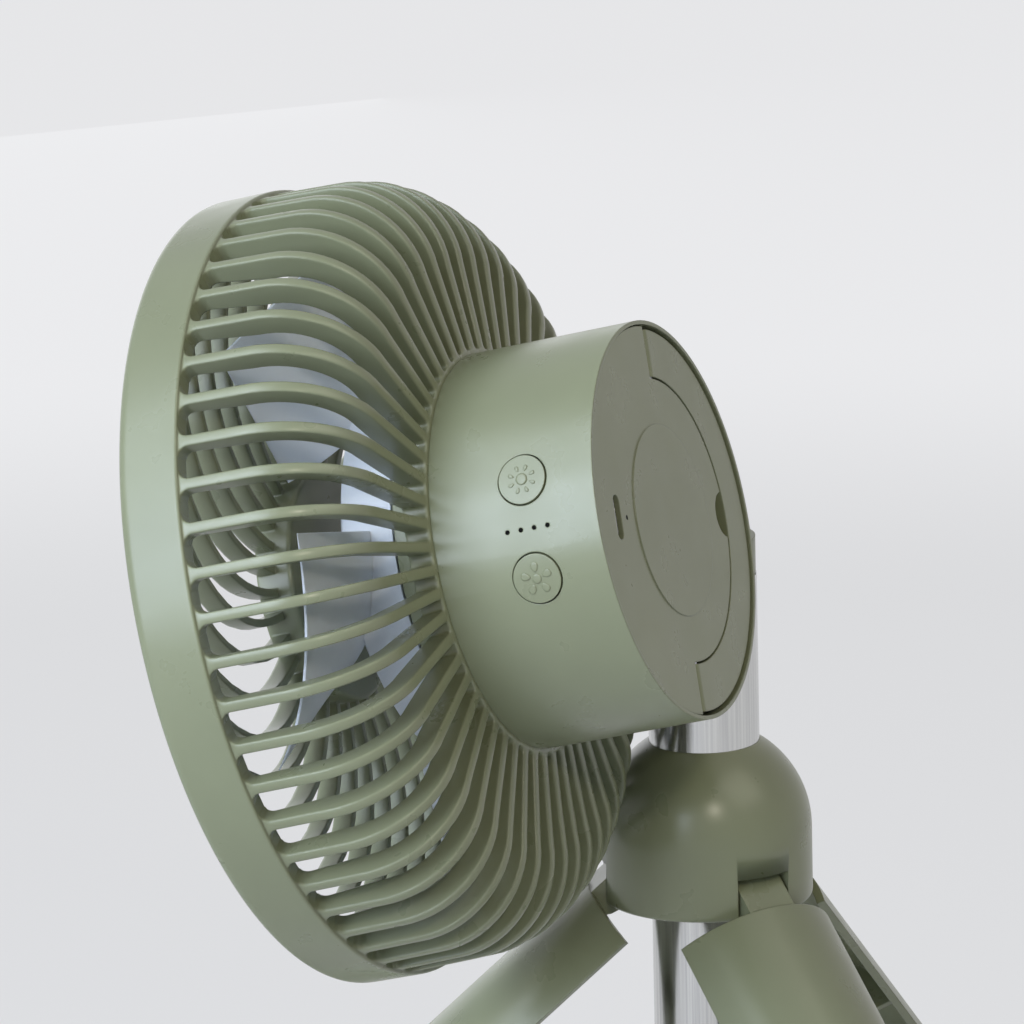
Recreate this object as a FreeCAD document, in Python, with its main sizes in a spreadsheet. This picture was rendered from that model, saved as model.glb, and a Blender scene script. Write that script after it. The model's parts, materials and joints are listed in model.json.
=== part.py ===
import FreeCAD, Part
import math
import os
import Sketcher

# Portable camping fan on a folding tripod, in millimetres.
# +Z is up, the fan blows towards -Y, and the buttons are on the +X side.
# The origin is the centre of the footprint box, on the surface that the feet stand on.

doc = FreeCAD.newDocument("camping_fan")
sheet = doc.addObject("Spreadsheet::Sheet", "sizes")

# Driving sizes: name, value, meaning
SIZES = [
    ("pole_x", 17.2, "pole axis from the origin, to the fan's left"),
    ("pole_y", 12.27, "pole axis from the origin, to the back"),
    ("fit_gap", 0.3, "gap between pieces of different bodies"),
    ("overrun", 1.0, "how far a cutting shape runs past the face that it cuts"),
    ("run_gap", 0.05, "radial gap of a shaft that turns or slides"),
    ("leg_count", 3, "number of legs"),
    ("leg_azimuth", 52, "direction of the first leg, from +X towards +Y"),
    ("leg_spread", 48, "angle of an open leg from the vertical"),
    ("leg_length", 224, "hinge to floor along an open leg"),
    ("leg_radius", 24.6, "outer radius of the folded legs"),
    ("leg_wall", 2.0, "wall of a leg"),
    ("leg_half_angle", 58, "half of the arc that one leg covers"),
    ("leg_drop", 7.5, "hinge down to the shoulder of a leg"),
    ("leg_rib_radius", 14.6, "inner radius of the ribs in a leg"),
    ("leg_rib_half_angle", 52, "half of the arc that a rib covers"),
    ("leg_rib_wall", 1.6, "thickness of a rib in a leg"),
    ("leg_rib_pitch", 48, "spacing of the ribs in a leg"),
    ("leg_rib_count", 4, "ribs in a leg"),
    ("foot_length", 14, "length of a rubber foot along the leg"),
    ("foot_depth", 9.0, "radial depth of a rubber foot"),
    ("hinge_radius", 18.5, "leg hinge from the pole axis"),
    ("hinge_barrel", 3.8, "radius of the barrel at a leg's top"),
    ("hinge_pin_radius", 1.5, "leg hinge pin"),
    ("neck_width", 12.4, "width of a leg's hinge neck"),
    ("neck_corner", 3.0, "rounding at the top of a hinge neck"),
    ("neck_root", 10.5, "how far the neck runs down inside the leg"),
    ("slot_side_gap", 0.8, "gap on each side of a hinge neck"),
    ("pin_overhang", 3.0, "hinge pin beyond each side of its slot"),
    ("hub_radius", 25.0, "hub, and its domed top"),
    ("hub_skirt", 4.0, "hub below the hinge pins"),
    ("hub_dome_rise", 12.5, "centre of the dome above the hinge pins"),
    ("hub_edge", 1.2, "rounded lower edge of the hub"),
    ("hub_sleeve", 1.15, "wall round the pole where a slot is cut"),
    ("hub_cap_radius", 21.8, "bottom cap of the hub"),
    ("hub_cap_wall", 2.0, "thickness of the bottom cap"),
    ("hub_screw_circle", 18.0, "radius of the bottom cap's screw circle"),
    ("hub_screw_head", 2.2, "head radius of a cap screw"),
    ("hub_screw_head_height", 1.4, "head height of a cap screw"),
    ("hub_screw_radius", 1.2, "shank radius of a cap screw"),
    ("hub_screw_depth", 8.0, "shank length of a cap screw"),
    ("pole_radius", 13.0, "outer tube of the pole"),
    ("pole_wall", 1.2, "wall of the outer tube"),
    ("pole_above", 74.0, "top of the outer tube above the hinge pins"),
    ("pole_below", 122.0, "bottom of the outer tube below the hinge pins"),
    ("plug_height", 4.0, "plug in the bottom of the pole"),
    ("plug_flange", 1.6, "flange of the plug below the tube"),
    ("middle_radius", 10.8, "middle tube"),
    ("middle_wall", 1.2, "wall of the middle tube"),
    ("inner_radius", 8.6, "inner tube"),
    ("inner_wall", 1.0, "wall of the inner tube"),
    ("bush_height", 10.0, "guide bush at the top of a tube"),
    ("guide_height", 8.0, "guide ring at the bottom of a tube"),
    ("stem_plug", 14.0, "swivel stem inside the inner tube"),
    ("stem_radius", 6.0, "swivel stem above the inner tube"),
    ("stem_height", 8.0, "height of the swivel stem"),
    ("collar_radius", 12.8, "neck collar on the pole"),
    ("collar_height", 9.0, "height of the neck collar"),
    ("neck_height", 26.0, "top of the outer tube up to the tilt axis"),
    ("tongue_half_width", 7.0, "neck tongue, half of its width"),
    ("tongue_thickness", 10.0, "neck tongue along the tilt axis"),
    ("tilt_pin_radius", 4.0, "tilt pin"),
    ("tilt_pin_head", 6.0, "head radius of the tilt pin"),
    ("tilt_pin_head_height", 2.0, "head height of the tilt pin"),
    ("tilt_pin_depth", 9.0, "tilt pin inside the boss of the drum"),
    ("tilt_washer_radius", 9.0, "friction washer on the tilt pin"),
    ("tilt_washer_height", 0.8, "thickness of the friction washer"),
    ("boss_radius", 9.5, "boss on the drum that carries the tilt pin"),
    ("head_tilt", 14.0, "the head looks down by this angle at rest"),
    ("panel_turn", 15.05, "buttons, socket and handle are turned up round the head axis by this angle"),
    ("head_offset", 67.0, "head axis from the pole axis"),
    ("pivot_ahead", 17.4, "tilt axis ahead of the drum's rear rim"),
    ("drum_radius", 45.5, "drum"),
    ("drum_length", 39.7, "drum from its rear rim to its front edge"),
    ("drum_wall", 2.7, "wall of the drum"),
    ("rim_lip", 0.9, "lip of the drum round the rear plate"),
    ("collar_step", 2.3, "drum's front collar inside its front edge"),
    ("collar_length", 10.0, "drum's front collar"),
    ("front_wall", 3.0, "front wall of the drum, behind the rotor"),
    ("wire_hole", 5.0, "hole in the drum's front wall"),
    ("board_depth", 6.6, "main board from the rear rim"),
    ("board_wall", 1.6, "thickness of the main board"),
    ("ledge_wall", 1.4, "ledge in the drum that carries the board"),
    ("ledge_radius", 40.5, "inner radius of that ledge"),
    ("plate_inset", 0.6, "rear plate below the rim"),
    ("plate_wall", 3.1, "thickness of the rear plate"),
    ("plate_floor", 1.5, "floor under the carrying handle"),
    ("plate_disc", 21.9, "raised disc of the rear plate"),
    ("plate_disc_rise", 0.25, "height of the raised disc"),
    ("handle_inner", 32.8, "carrying handle, inner radius"),
    ("handle_outer", 43.6, "carrying handle, outer radius"),
    ("handle_thick", 2.9, "thickness of the carrying handle"),
    ("handle_gap", 0.5, "gap inside the handle's arc"),
    ("handle_inset", 0.5, "carrying handle below the rim"),
    ("handle_axis_x", 1.9, "hinge line of the handle beside the middle"),
    ("handle_pin_radius", 0.9, "pins of the carrying handle"),
    ("handle_pin_in", 4.0, "handle pin inside the rear plate"),
    ("handle_pin_out", 7.0, "handle pin inside the handle"),
    ("notch_reach", 5.2, "finger notch into the rear plate"),
    ("notch_rise", 2.0, "finger notch above the middle"),
    ("usb_x", 32.0, "charging socket beside the middle"),
    ("usb_length", 10.1, "slot of the charging socket"),
    ("usb_width", 3.5, "width of that slot"),
    ("usb_shell", 0.5, "gap round the charging socket's shell"),
    ("usb_wall", 0.35, "wall of the socket's shell"),
    ("usb_inset", 1.6, "socket below the rim"),
    ("charge_led_x", 27.0, "charging light beside the middle"),
    ("led_radius", 0.55, "indicator lights"),
    ("led_pitch", 3.23, "spacing of the four indicator lights"),
    ("led_count", 4, "indicator lights beside the buttons"),
    ("panel_depth", 16.9, "buttons and lights from the rear rim"),
    ("button_angle", 14.05, "each button above or below the middle"),
    ("button_radius", 5.6, "buttons"),
    ("button_gap", 0.3, "gap round a button"),
    ("button_top", 45.85, "button face from the head axis"),
    ("button_flange", 6.6, "flange that keeps a button in"),
    ("button_flange_wall", 1.0, "thickness of that flange"),
    ("button_flange_top", 41.9, "top of that flange from the head axis"),
    ("button_stem", 2.0, "stem of a button"),
    ("button_travel", 0.6, "travel of a button"),
    ("switch_radius", 3.0, "switch under a button"),
    ("switch_height", 3.4, "height of a switch"),
    ("carrier_radius", 35.2, "switch carrier, outer radius"),
    ("carrier_wall", 1.6, "thickness of the switch carrier"),
    ("carrier_half_angle", 24.0, "half of the arc of the switch carrier"),
    ("carrier_length", 16.0, "length of the switch carrier"),
    ("cell_radius", 10.6, "battery cell"),
    ("cell_length", 70.4, "length of a battery cell"),
    ("cell_depth", 24.5, "battery cells from the rear rim"),
    ("cradle_half_x", 20.0, "battery cradle, half width"),
    ("cradle_half_z", 29.0, "battery cradle, half height"),
    ("cradle_wall", 5.0, "wall of the battery cradle"),
    ("motor_radius", 16.5, "motor can"),
    ("motor_length", 15.8, "length of the motor can"),
    ("shaft_radius", 2.0, "motor shaft"),
    ("motor_screw_count", 3, "screws that hold the motor"),
    ("motor_screw_circle", 11.0, "radius of the motor's screw circle"),
    ("motor_screw_radius", 1.5, "shank radius of a motor screw"),
    ("motor_screw_head", 2.7, "head radius of a motor screw"),
    ("motor_screw_head_height", 1.6, "head height of a motor screw"),
    ("motor_screw_depth", 5.0, "motor screw inside the motor"),
    ("rotor_radius", 43.2, "rotor hub"),
    ("rotor_wall", 2.2, "wall of the rotor hub"),
    ("rotor_gap", 0.5, "rotor hub ahead of the drum's collar"),
    ("rotor_side", 12.0, "straight side of the rotor hub"),
    ("rotor_crown", 12.0, "height of the rotor hub's domed front"),
    ("rotor_boss", 5.5, "boss of the rotor round the shaft"),
    ("rotor_boss_length", 5.0, "length of that boss"),
    ("shaft_in_boss", 4.0, "shaft inside the rotor's boss"),
    ("blade_count", 5, "blades"),
    ("blade_tip", 79.6, "radius of the blade tips"),
    ("blade_thickness", 2.2, "thickness of a blade"),
    ("blade_depth", 66.5, "middle of a blade from the rear rim"),
    ("blade_root_radius", 34.0, "plane of the blade's root section"),
    ("blade_root_chord", 16.0, "half of the blade's sweep at its root"),
    ("blade_root_rise", 11.0, "half of the blade's depth at its root"),
    ("blade_end_radius", 84.0, "plane of the blade's end section"),
    ("blade_end_chord", 28.0, "half of the blade's sweep at its end"),
    ("blade_end_rise", 9.5, "half of the blade's depth at its end"),
    ("blade_camber", 6.0, "height of the blade's curved section"),
    ("rib_count", 56, "ribs of the rear grille"),
    ("rib_wall", 2.6, "thickness of a rear rib"),
    ("rib_depth", 6.0, "depth of a rear rib"),
    ("rib_sink", 0.1, "rear rib below the face of the ring that it joins"),
    ("rib_overlap", 1.5, "rear rib inside the ring that it joins"),
    ("root_ring_wall", 3.4, "ring that carries the inner ends of the rear ribs"),
    ("shoulder_radius", 66.5, "where the rear grille turns forward"),
    ("shoulder_rise", 1.8, "rear grille's lean between drum and shoulder"),
    ("shoulder_round", 23.0, "round shoulder of the rear grille"),
    ("slot_end_radius", 90.0, "rear grille where the slots end"),
    ("slot_end_depth", 79.2, "end of the rear slots from the rear rim"),
    ("bezel_radius", 90.8, "front ring"),
    ("bezel_depth", 94.0, "front of the ring from the rear rim"),
    ("bezel_round", 4.0, "rounded front of the ring"),
    ("bezel_bore", 85.5, "opening of the front ring"),
    ("front_rib_count", 32, "curved ribs of the front grille"),
    ("front_rib_wall", 1.8, "width of a front rib"),
    ("front_rib_depth", 3.0, "depth of a front rib"),
    ("front_rib_lean", 38.0, "turn of a front rib between its two ends"),
    ("front_inset", 2.0, "front grille below the front of the ring"),
    ("front_ring_wall", 3.4, "outer ring of the front grille"),
    ("front_ring_depth", 5.0, "depth of that ring"),
    ("lamp_radius", 27.0, "lamp cup in the front grille"),
    ("lamp_wall", 2.0, "wall of the lamp cup"),
    ("lamp_depth", 9.0, "depth of the lamp cup"),
    ("lamp_floor", 2.0, "floor of the lamp cup"),
    ("lamp_board_wall", 1.6, "thickness of the lamp board"),
    ("lamp_cover_wall", 2.0, "wall of the lamp cover"),
    ("lamp_cover_rim", 2.4, "rim of the lamp cover"),
    ("lamp_cover_crown", 1.0, "crown of the lamp cover"),
]


class Dim:
    """A value and the spreadsheet expression that gives it."""

    def __init__(self, value, text):
        self.value = float(value)
        self.text = text

    def __add__(self, other):
        other = dim(other)
        return Dim(self.value + other.value, "(" + self.text + " + " + other.text + ")")

    def __sub__(self, other):
        other = dim(other)
        return Dim(self.value - other.value, "(" + self.text + " - " + other.text + ")")

    def __mul__(self, other):
        other = dim(other)
        return Dim(self.value * other.value, "(" + self.text + " * " + other.text + ")")

    def __truediv__(self, other):
        other = dim(other)
        return Dim(self.value / other.value, "(" + self.text + " / " + other.text + ")")

    def __neg__(self):
        return Dim(-self.value, "(0 - " + self.text + ")")

    def __rsub__(self, number):
        return dim(number) - self


def dim(number):
    if isinstance(number, Dim):
        return number
    return Dim(number, "(" + str(float(number)) + ")")


def cosine(angle):
    return Dim(math.cos(math.radians(angle.value)), "cos(" + angle.text + ")")


def sine(angle):
    return Dim(math.sin(math.radians(angle.value)), "sin(" + angle.text + ")")


def tangent(angle):
    return Dim(math.tan(math.radians(angle.value)), "tan(" + angle.text + ")")


def root(area):
    return Dim(math.sqrt(area.value), "sqrt(" + area.text + ")")


class Sizes:
    pass


size = Sizes()
for row, (name, value, meaning) in enumerate(SIZES, start=1):
    sheet.set("A" + str(row), meaning)
    sheet.set("B" + str(row), str(value))
    sheet.setAlias("B" + str(row), name)
    setattr(size, name, Dim(value, "sizes." + name))
doc.recompute()

NODES = []


def bind(obj, path, value):
    obj.setExpression(path, dim(value).text)


def node(obj, label):
    obj.Label = label
    NODES.append(obj)
    return obj


def move(obj, x=0, y=0, z=0):
    bind(obj, "Placement.Base.x", x)
    bind(obj, "Placement.Base.y", y)
    bind(obj, "Placement.Base.z", z)
    return obj


def turn(obj, axis, angle):
    obj.Placement = FreeCAD.Placement(FreeCAD.Vector(), FreeCAD.Rotation(FreeCAD.Vector(*axis), angle))
    return obj


X_AXIS = (1, 0, 0)
Y_AXIS = (0, 1, 0)
Z_AXIS = (0, 0, 1)


def lay_along(obj, height, x, y, z, along):
    if along == X_AXIS:
        turn(obj, Y_AXIS, 90)
    if along == Y_AXIS:
        turn(obj, X_AXIS, -90)
    bind(obj, "Height", height)
    return move(obj, x, y, z)


def cylinder(name, radius, height, x=0, y=0, z=0, along=Z_AXIS):
    obj = doc.addObject("Part::Cylinder", name)
    bind(obj, "Radius", radius)
    return lay_along(obj, height, x, y, z, along)


def prism(name, sides, radius, height, x=0, y=0, z=0, along=Z_AXIS):
    """Bar with flat sides, for screws and for round pieces that the housing hides."""
    obj = doc.addObject("Part::Prism", name)
    obj.Polygon = sides
    bind(obj, "Circumradius", radius)
    return lay_along(obj, height, x, y, z, along)


def box(name, low, high):
    obj = doc.addObject("Part::Box", name)
    bind(obj, "Length", dim(high[0]) - low[0])
    bind(obj, "Width", dim(high[1]) - low[1])
    bind(obj, "Height", dim(high[2]) - low[2])
    return move(obj, low[0], low[1], low[2])


def cut(name, base, tool):
    obj = doc.addObject("Part::Cut", name)
    obj.Base = base
    obj.Tool = tool
    return obj


def fuse(name, shapes):
    obj = doc.addObject("Part::MultiFuse", name)
    obj.Shapes = shapes
    return obj


def group(name, shapes):
    obj = doc.addObject("Part::Compound", name)
    obj.Links = shapes
    return obj


def ring(name, outer, inner, height, x=0, y=0, z=0, along=Z_AXIS):
    outside = cylinder(name + "_outside", outer, height, x, y, z, along)
    inside = cylinder(name + "_inside", inner, height, x, y, z, along)
    return cut(name, outside, inside)


def new_body(label):
    return node(doc.addObject("PartDesign::Body", label), label)


def origin_part(body, role):
    for feature in body.Origin.OriginFeatures:
        if feature.Role == role:
            return feature
    raise RuntimeError("no " + role)


def new_sketch(body, name, plane, lift=0, twist=None):
    sketch = body.newObject("Sketcher::SketchObject", name)
    sketch.AttachmentSupport = [(origin_part(body, plane), "")]
    sketch.MapMode = "FlatFace"
    if twist is not None:
        axis, angle = twist
        rotation = FreeCAD.Rotation(FreeCAD.Vector(*axis), angle)
        sketch.AttachmentOffset = FreeCAD.Placement(FreeCAD.Vector(), rotation)
    bind(sketch, "AttachmentOffset.Base.z", lift)
    return sketch


def fix_point(sketch, geometry, end, x, y):
    index = sketch.addConstraint(Sketcher.Constraint("DistanceX", -1, 1, geometry, end, dim(x).value))
    bind(sketch, "Constraints[" + str(index) + "]", x)
    index = sketch.addConstraint(Sketcher.Constraint("DistanceY", -1, 1, geometry, end, dim(y).value))
    bind(sketch, "Constraints[" + str(index) + "]", y)


def draw_circle(sketch, x, y, radius):
    centre = FreeCAD.Vector(dim(x).value, dim(y).value, 0)
    up = FreeCAD.Vector(0, 0, 1)
    geometry = sketch.addGeometry(Part.Circle(centre, up, dim(radius).value), False)
    fix_point(sketch, geometry, 3, x, y)
    index = sketch.addConstraint(Sketcher.Constraint("Radius", geometry, dim(radius).value))
    bind(sketch, "Constraints[" + str(index) + "]", radius)


def draw_outline(sketch, corners):
    """Closed outline. A corner is (x, y), or (x, y, radius) where an arc runs on to the next corner:
    a positive radius turns to the left of the way, a negative one to the right."""
    count = len(corners)
    points = [FreeCAD.Vector(dim(c[0]).value, dim(c[1]).value, 0) for c in corners]
    first = None
    previous = None
    for i in range(count):
        start = points[i]
        finish = points[(i + 1) % count]
        if len(corners[i]) == 3:
            radius = dim(corners[i][2])
            left = radius.value > 0
            geometry = sketch.addGeometry(arc_between(start, finish, radius.value), False)
            head, tail = (1, 2) if left else (2, 1)
        else:
            radius = None
            geometry = sketch.addGeometry(Part.LineSegment(start, finish), False)
            head, tail = 1, 2
        fix_point(sketch, geometry, head, corners[i][0], corners[i][1])
        if radius is not None:
            value = radius if left else -radius
            index = sketch.addConstraint(Sketcher.Constraint("Radius", geometry, value.value))
            bind(sketch, "Constraints[" + str(index) + "]", value)
        if previous is not None:
            sketch.addConstraint(Sketcher.Constraint("Coincident", previous[0], previous[1], geometry, head))
        else:
            first = (geometry, head)
        previous = (geometry, tail)
    sketch.addConstraint(Sketcher.Constraint("Coincident", previous[0], previous[1], first[0], first[1]))


def arc_steps(x, y, radius, start, finish, count):
    """Corners along an arc round (x, y) from one angle to another, with both ends."""
    corners = []
    for index in range(count + 1):
        angle = dim(start) + (dim(finish) - start) / count * index
        corners.append((x + radius * cosine(angle), y + radius * sine(angle)))
    return corners


def draw_polygon(sketch, x, y, radius, sides):
    step = 360 / sides
    draw_outline(sketch, arc_steps(dim(x), dim(y), dim(radius), 0, 360 - step, sides - 1))


def arc_between(start, finish, radius):
    """Arc of less than half a turn; it turns left where the radius is positive."""
    chord = finish - start
    half = chord.Length / 2
    side = FreeCAD.Vector(-chord.y, chord.x, 0).normalize()
    height = math.sqrt(max(radius * radius - half * half, 0))
    centre = (start + finish) * 0.5 + side * math.copysign(height, radius)
    circle = Part.Circle(centre, FreeCAD.Vector(0, 0, 1), abs(radius))
    a, b = (start, finish) if radius > 0 else (finish, start)
    angle_a = math.atan2(a.y - centre.y, a.x - centre.x)
    angle_b = math.atan2(b.y - centre.y, b.x - centre.x)
    if angle_b < angle_a:
        angle_b += 2 * math.pi
    return Part.ArcOfCircle(circle, angle_a, angle_b)


def revolve(body, name, plane, corners, cutting=False, seam=0):
    """Turn an outline about the sketch's upright axis. The seam of the round faces is turned
    by an angle where it would lie along another feature."""
    twist = (Y_AXIS, seam.value) if seam else None
    sketch = new_sketch(body, name + "_sketch", plane, twist=twist)
    draw_outline(sketch, corners)
    kind = "PartDesign::Groove" if cutting else "PartDesign::Revolution"
    feature = body.newObject(kind, name)
    feature.Profile = sketch
    feature.ReferenceAxis = (sketch, ["V_Axis"])
    feature.Angle = 360
    return feature


def extrude(body, name, sketch, length, both=False, back=False, cutting=False):
    kind = "PartDesign::Pocket" if cutting else "PartDesign::Pad"
    feature = body.newObject(kind, name)
    feature.Profile = sketch
    bind(feature, "Length", length)
    feature.Reversed = back
    if both:
        feature.Midplane = True
    return feature


def polar(body, name, original, role, count):
    feature = body.newObject("PartDesign::PolarPattern", name)
    feature.Originals = [original]
    feature.Axis = (origin_part(body, role), [""])
    feature.Angle = 360
    bind(feature, "Occurrences", count)
    body.Tip = feature
    return feature


def linear(body, name, original, role, length, count):
    feature = body.newObject("PartDesign::LinearPattern", name)
    feature.Originals = [original]
    feature.Direction = (origin_part(body, role), [""])
    bind(feature, "Length", length)
    bind(feature, "Occurrences", count)
    body.Tip = feature
    return feature


def must_change(before, feature, smaller):
    """A pocket or groove that points away from the solid cuts nothing, so the volume is compared."""
    doc.recompute()
    change = feature.Shape.Volume - before
    if smaller == (change > -0.01):
        raise RuntimeError(feature.Name + " left the volume at " + str(feature.Shape.Volume))
    return feature.Shape.Volume


# Flat sides of screws and of hidden round pieces
SCREW_SIDES = 6
SMALL_SIDES = 8
ROUND_SIDES = 24

# Straight steps that stand for an arc in a turned outline
SHOULDER_STEPS = 5
DOME_STEPS = 3
CROWN_STEPS = 2
BEZEL_STEPS = 2
FOOT_STEPS = 10
RIB_STEPS = 3
BLADE_STEPS = 3

# Heights that several pieces share
hinge_z = size.leg_length * cosine(size.leg_spread)
hub_bottom = hinge_z - size.hub_skirt
tube_top = hinge_z + size.pole_above
tube_bottom = hinge_z - size.pole_below
pivot_z = tube_top + size.neck_height
pole_bore = size.pole_radius - size.pole_wall
middle_bore = size.middle_radius - size.middle_wall
inner_bore = size.inner_radius - size.inner_wall

# Hinge of a leg
slot_width = size.neck_width + size.slot_side_gap * 2
pin_length = slot_width + size.pin_overhang * 2
half_neck = size.neck_width / 2
neck_reach = root(size.leg_radius * size.leg_radius - half_neck * half_neck) - size.hinge_radius
slot_headroom = neck_reach + size.fit_gap * 2

# Tilt pin along X
pin_side = size.tongue_thickness / 2 + size.fit_gap
washer_x = -size.head_offset + pin_side
boss_x = washer_x + size.tilt_washer_height

# Depths from the rear rim that several pieces share
ledge_depth = size.board_depth + size.board_wall
collar_end = size.drum_length + size.collar_length
wall_back = collar_end - size.front_wall
drum_bore = size.drum_radius - size.drum_wall
collar_radius_front = size.drum_radius - size.collar_step
rotor_back = collar_end + size.rotor_gap
rotor_front = rotor_back + size.rotor_side + size.rotor_crown


def on_pole(obj):
    """Pieces that are modelled round the pole axis."""
    return move(obj, size.pole_x, size.pole_y, 0)


def on_head(obj):
    """Pieces of the head are modelled with the head axis along Y, the rear rim at Y = 0 and
    everything ahead of the rim at negative Y. This tilts them about the tilt pin."""
    turn(obj, X_AXIS, size.head_tilt.value)
    bind(obj, "Placement.Rotation.Angle", size.head_tilt)
    return move_to_head(obj)


def on_panel(obj):
    """Pieces that are also turned round the head axis, such as the buttons and the handle."""
    tilt = FreeCAD.Rotation(FreeCAD.Vector(*X_AXIS), size.head_tilt.value)
    roll = FreeCAD.Rotation(FreeCAD.Vector(*Y_AXIS), -size.panel_turn.value)
    obj.Placement = FreeCAD.Placement(FreeCAD.Vector(), tilt.multiply(roll))
    return move_to_head(obj)


def move_to_head(obj):
    return move(
        obj,
        size.pole_x + size.head_offset,
        size.pole_y + size.pivot_ahead * cosine(size.head_tilt),
        pivot_z + size.pivot_ahead * sine(size.head_tilt),
    )


def leg_azimuth(index):
    return size.leg_azimuth.value + 360.0 / size.leg_count.value * index


def on_leg(obj, index):
    """Pieces of a leg are modelled folded: X outwards, Z up, the hinge pin at the origin."""
    azimuth = leg_azimuth(index)
    around = FreeCAD.Rotation(FreeCAD.Vector(*Z_AXIS), azimuth)
    spread = FreeCAD.Rotation(FreeCAD.Vector(*Y_AXIS), -size.leg_spread.value)
    reach = size.hinge_radius.value
    base = FreeCAD.Vector(
        size.pole_x.value + reach * math.cos(math.radians(azimuth)),
        size.pole_y.value + reach * math.sin(math.radians(azimuth)),
        hinge_z.value,
    )
    obj.Placement = FreeCAD.Placement(base, around.multiply(spread))
    return obj


# Hub, its bottom cap and screws

def make_hub():
    hub = new_body("hub_shell")
    dome_z = hinge_z + size.hub_dome_rise
    bore = size.pole_radius
    edge = size.hub_edge
    cap_z = hub_bottom + size.hub_cap_wall
    rim = size.hub_cap_radius + size.run_gap
    dome = []
    for step in range(DOME_STEPS + 1):
        inwards = (step / DOME_STEPS) ** 2
        radius = size.hub_radius - (size.hub_radius - bore) * inwards
        dome.append((radius, dome_z + root(size.hub_radius * size.hub_radius - radius * radius)))
    revolve(hub, "hub_dome", "XZ_Plane", [
        (bore, cap_z),
        (rim, cap_z),
        (rim, hub_bottom),
        (size.hub_radius - edge, hub_bottom),
        (size.hub_radius, hub_bottom + edge),
    ] + dome)
    doc.recompute()
    volume = hub.Shape.Volume
    sketch = new_sketch(hub, "slot_sketch", "XZ_Plane")
    inside = size.pole_radius + size.hub_sleeve
    slot_top = hinge_z + slot_headroom
    draw_outline(sketch, [
        (inside, hub_bottom - size.overrun),
        (size.hub_radius + size.overrun, hub_bottom - size.overrun),
        (size.hub_radius + size.overrun, slot_top),
        (inside, slot_top),
    ])
    slot = extrude(hub, "leg_slot", sketch, slot_width, both=True, cutting=True)
    volume = must_change(volume, slot, True)
    slots = polar(hub, "leg_slots", slot, "Z_Axis", size.leg_count)
    volume = must_change(volume, slots, True)
    pin_sketch = new_sketch(hub, "pin_sketch", "XZ_Plane")
    draw_circle(pin_sketch, size.hinge_radius, hinge_z, size.hinge_pin_radius)
    pin = extrude(hub, "pin_hole", pin_sketch, pin_length, both=True, cutting=True)
    volume = must_change(volume, pin, True)
    pins = polar(hub, "pin_holes", pin, "Z_Axis", size.leg_count)
    volume = must_change(volume, pins, True)
    screw_sketch = new_sketch(hub, "screw_sketch", "XY_Plane", cap_z)
    half = dim(180) / size.leg_count
    draw_polygon(screw_sketch, size.hub_screw_circle * cosine(half), size.hub_screw_circle * sine(half),
                 size.hub_screw_radius, SCREW_SIDES)
    screw = extrude(hub, "screw_hole", screw_sketch, size.hub_screw_depth, back=True, cutting=True)
    volume = must_change(volume, screw, True)
    screws = polar(hub, "screw_holes", screw, "Z_Axis", size.leg_count)
    must_change(volume, screws, True)
    on_pole(hub)
    hub.Placement.Rotation = FreeCAD.Rotation(FreeCAD.Vector(*Z_AXIS), size.leg_azimuth.value)


def make_hub_cap():
    cap = new_body("hub_bottom_cap")
    sketch = new_sketch(cap, "cap_sketch", "XY_Plane", hub_bottom)
    draw_circle(sketch, 0, 0, size.hub_cap_radius)
    draw_circle(sketch, 0, 0, size.pole_radius)
    extrude(cap, "cap_disc", sketch, size.hub_cap_wall)
    doc.recompute()
    volume = cap.Shape.Volume
    notch_sketch = new_sketch(cap, "notch_sketch", "XY_Plane", hub_bottom)
    half_width = slot_width / 2
    inside = size.pole_radius + size.hub_sleeve
    draw_outline(notch_sketch, [
        (inside, -half_width),
        (size.hub_radius, -half_width),
        (size.hub_radius, half_width),
        (inside, half_width),
    ])
    notch = extrude(cap, "leg_notch", notch_sketch, size.hub_cap_wall, back=True, cutting=True)
    volume = must_change(volume, notch, True)
    notches = polar(cap, "leg_notches", notch, "Z_Axis", size.leg_count)
    volume = must_change(volume, notches, True)
    hole_sketch = new_sketch(cap, "hole_sketch", "XY_Plane", hub_bottom)
    half = dim(180) / size.leg_count
    draw_polygon(hole_sketch, size.hub_screw_circle * cosine(half), size.hub_screw_circle * sine(half),
                 size.hub_screw_head, SCREW_SIDES)
    hole = extrude(cap, "screw_recess", hole_sketch, size.hub_cap_wall, back=True, cutting=True)
    volume = must_change(volume, hole, True)
    holes = polar(cap, "screw_recesses", hole, "Z_Axis", size.leg_count)
    must_change(volume, holes, True)
    on_pole(cap)
    cap.Placement.Rotation = FreeCAD.Rotation(FreeCAD.Vector(*Z_AXIS), size.leg_azimuth.value)


def make_hub_screws():
    screws = []
    for index in range(int(size.leg_count.value)):
        angle = dim(360) / size.leg_count * (index + 0.5)
        x = size.hub_screw_circle * cosine(angle)
        y = size.hub_screw_circle * sine(angle)
        seat = hub_bottom + size.hub_cap_wall
        name = "hub_screw_" + str(index + 1)
        head = prism(name + "_head", SCREW_SIDES, size.hub_screw_head - size.run_gap,
                     size.hub_screw_head_height, x, y, seat - size.hub_screw_head_height)
        shank = prism(name + "_shank", SCREW_SIDES, size.hub_screw_radius, size.hub_screw_depth, x, y, seat)
        screws.append(fuse(name, [head, shank]))
    cap_screws = on_pole(node(group("hub_screws", screws), "hub_screws"))
    cap_screws.Placement.Rotation = FreeCAD.Rotation(FreeCAD.Vector(*Z_AXIS), size.leg_azimuth.value)


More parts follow.
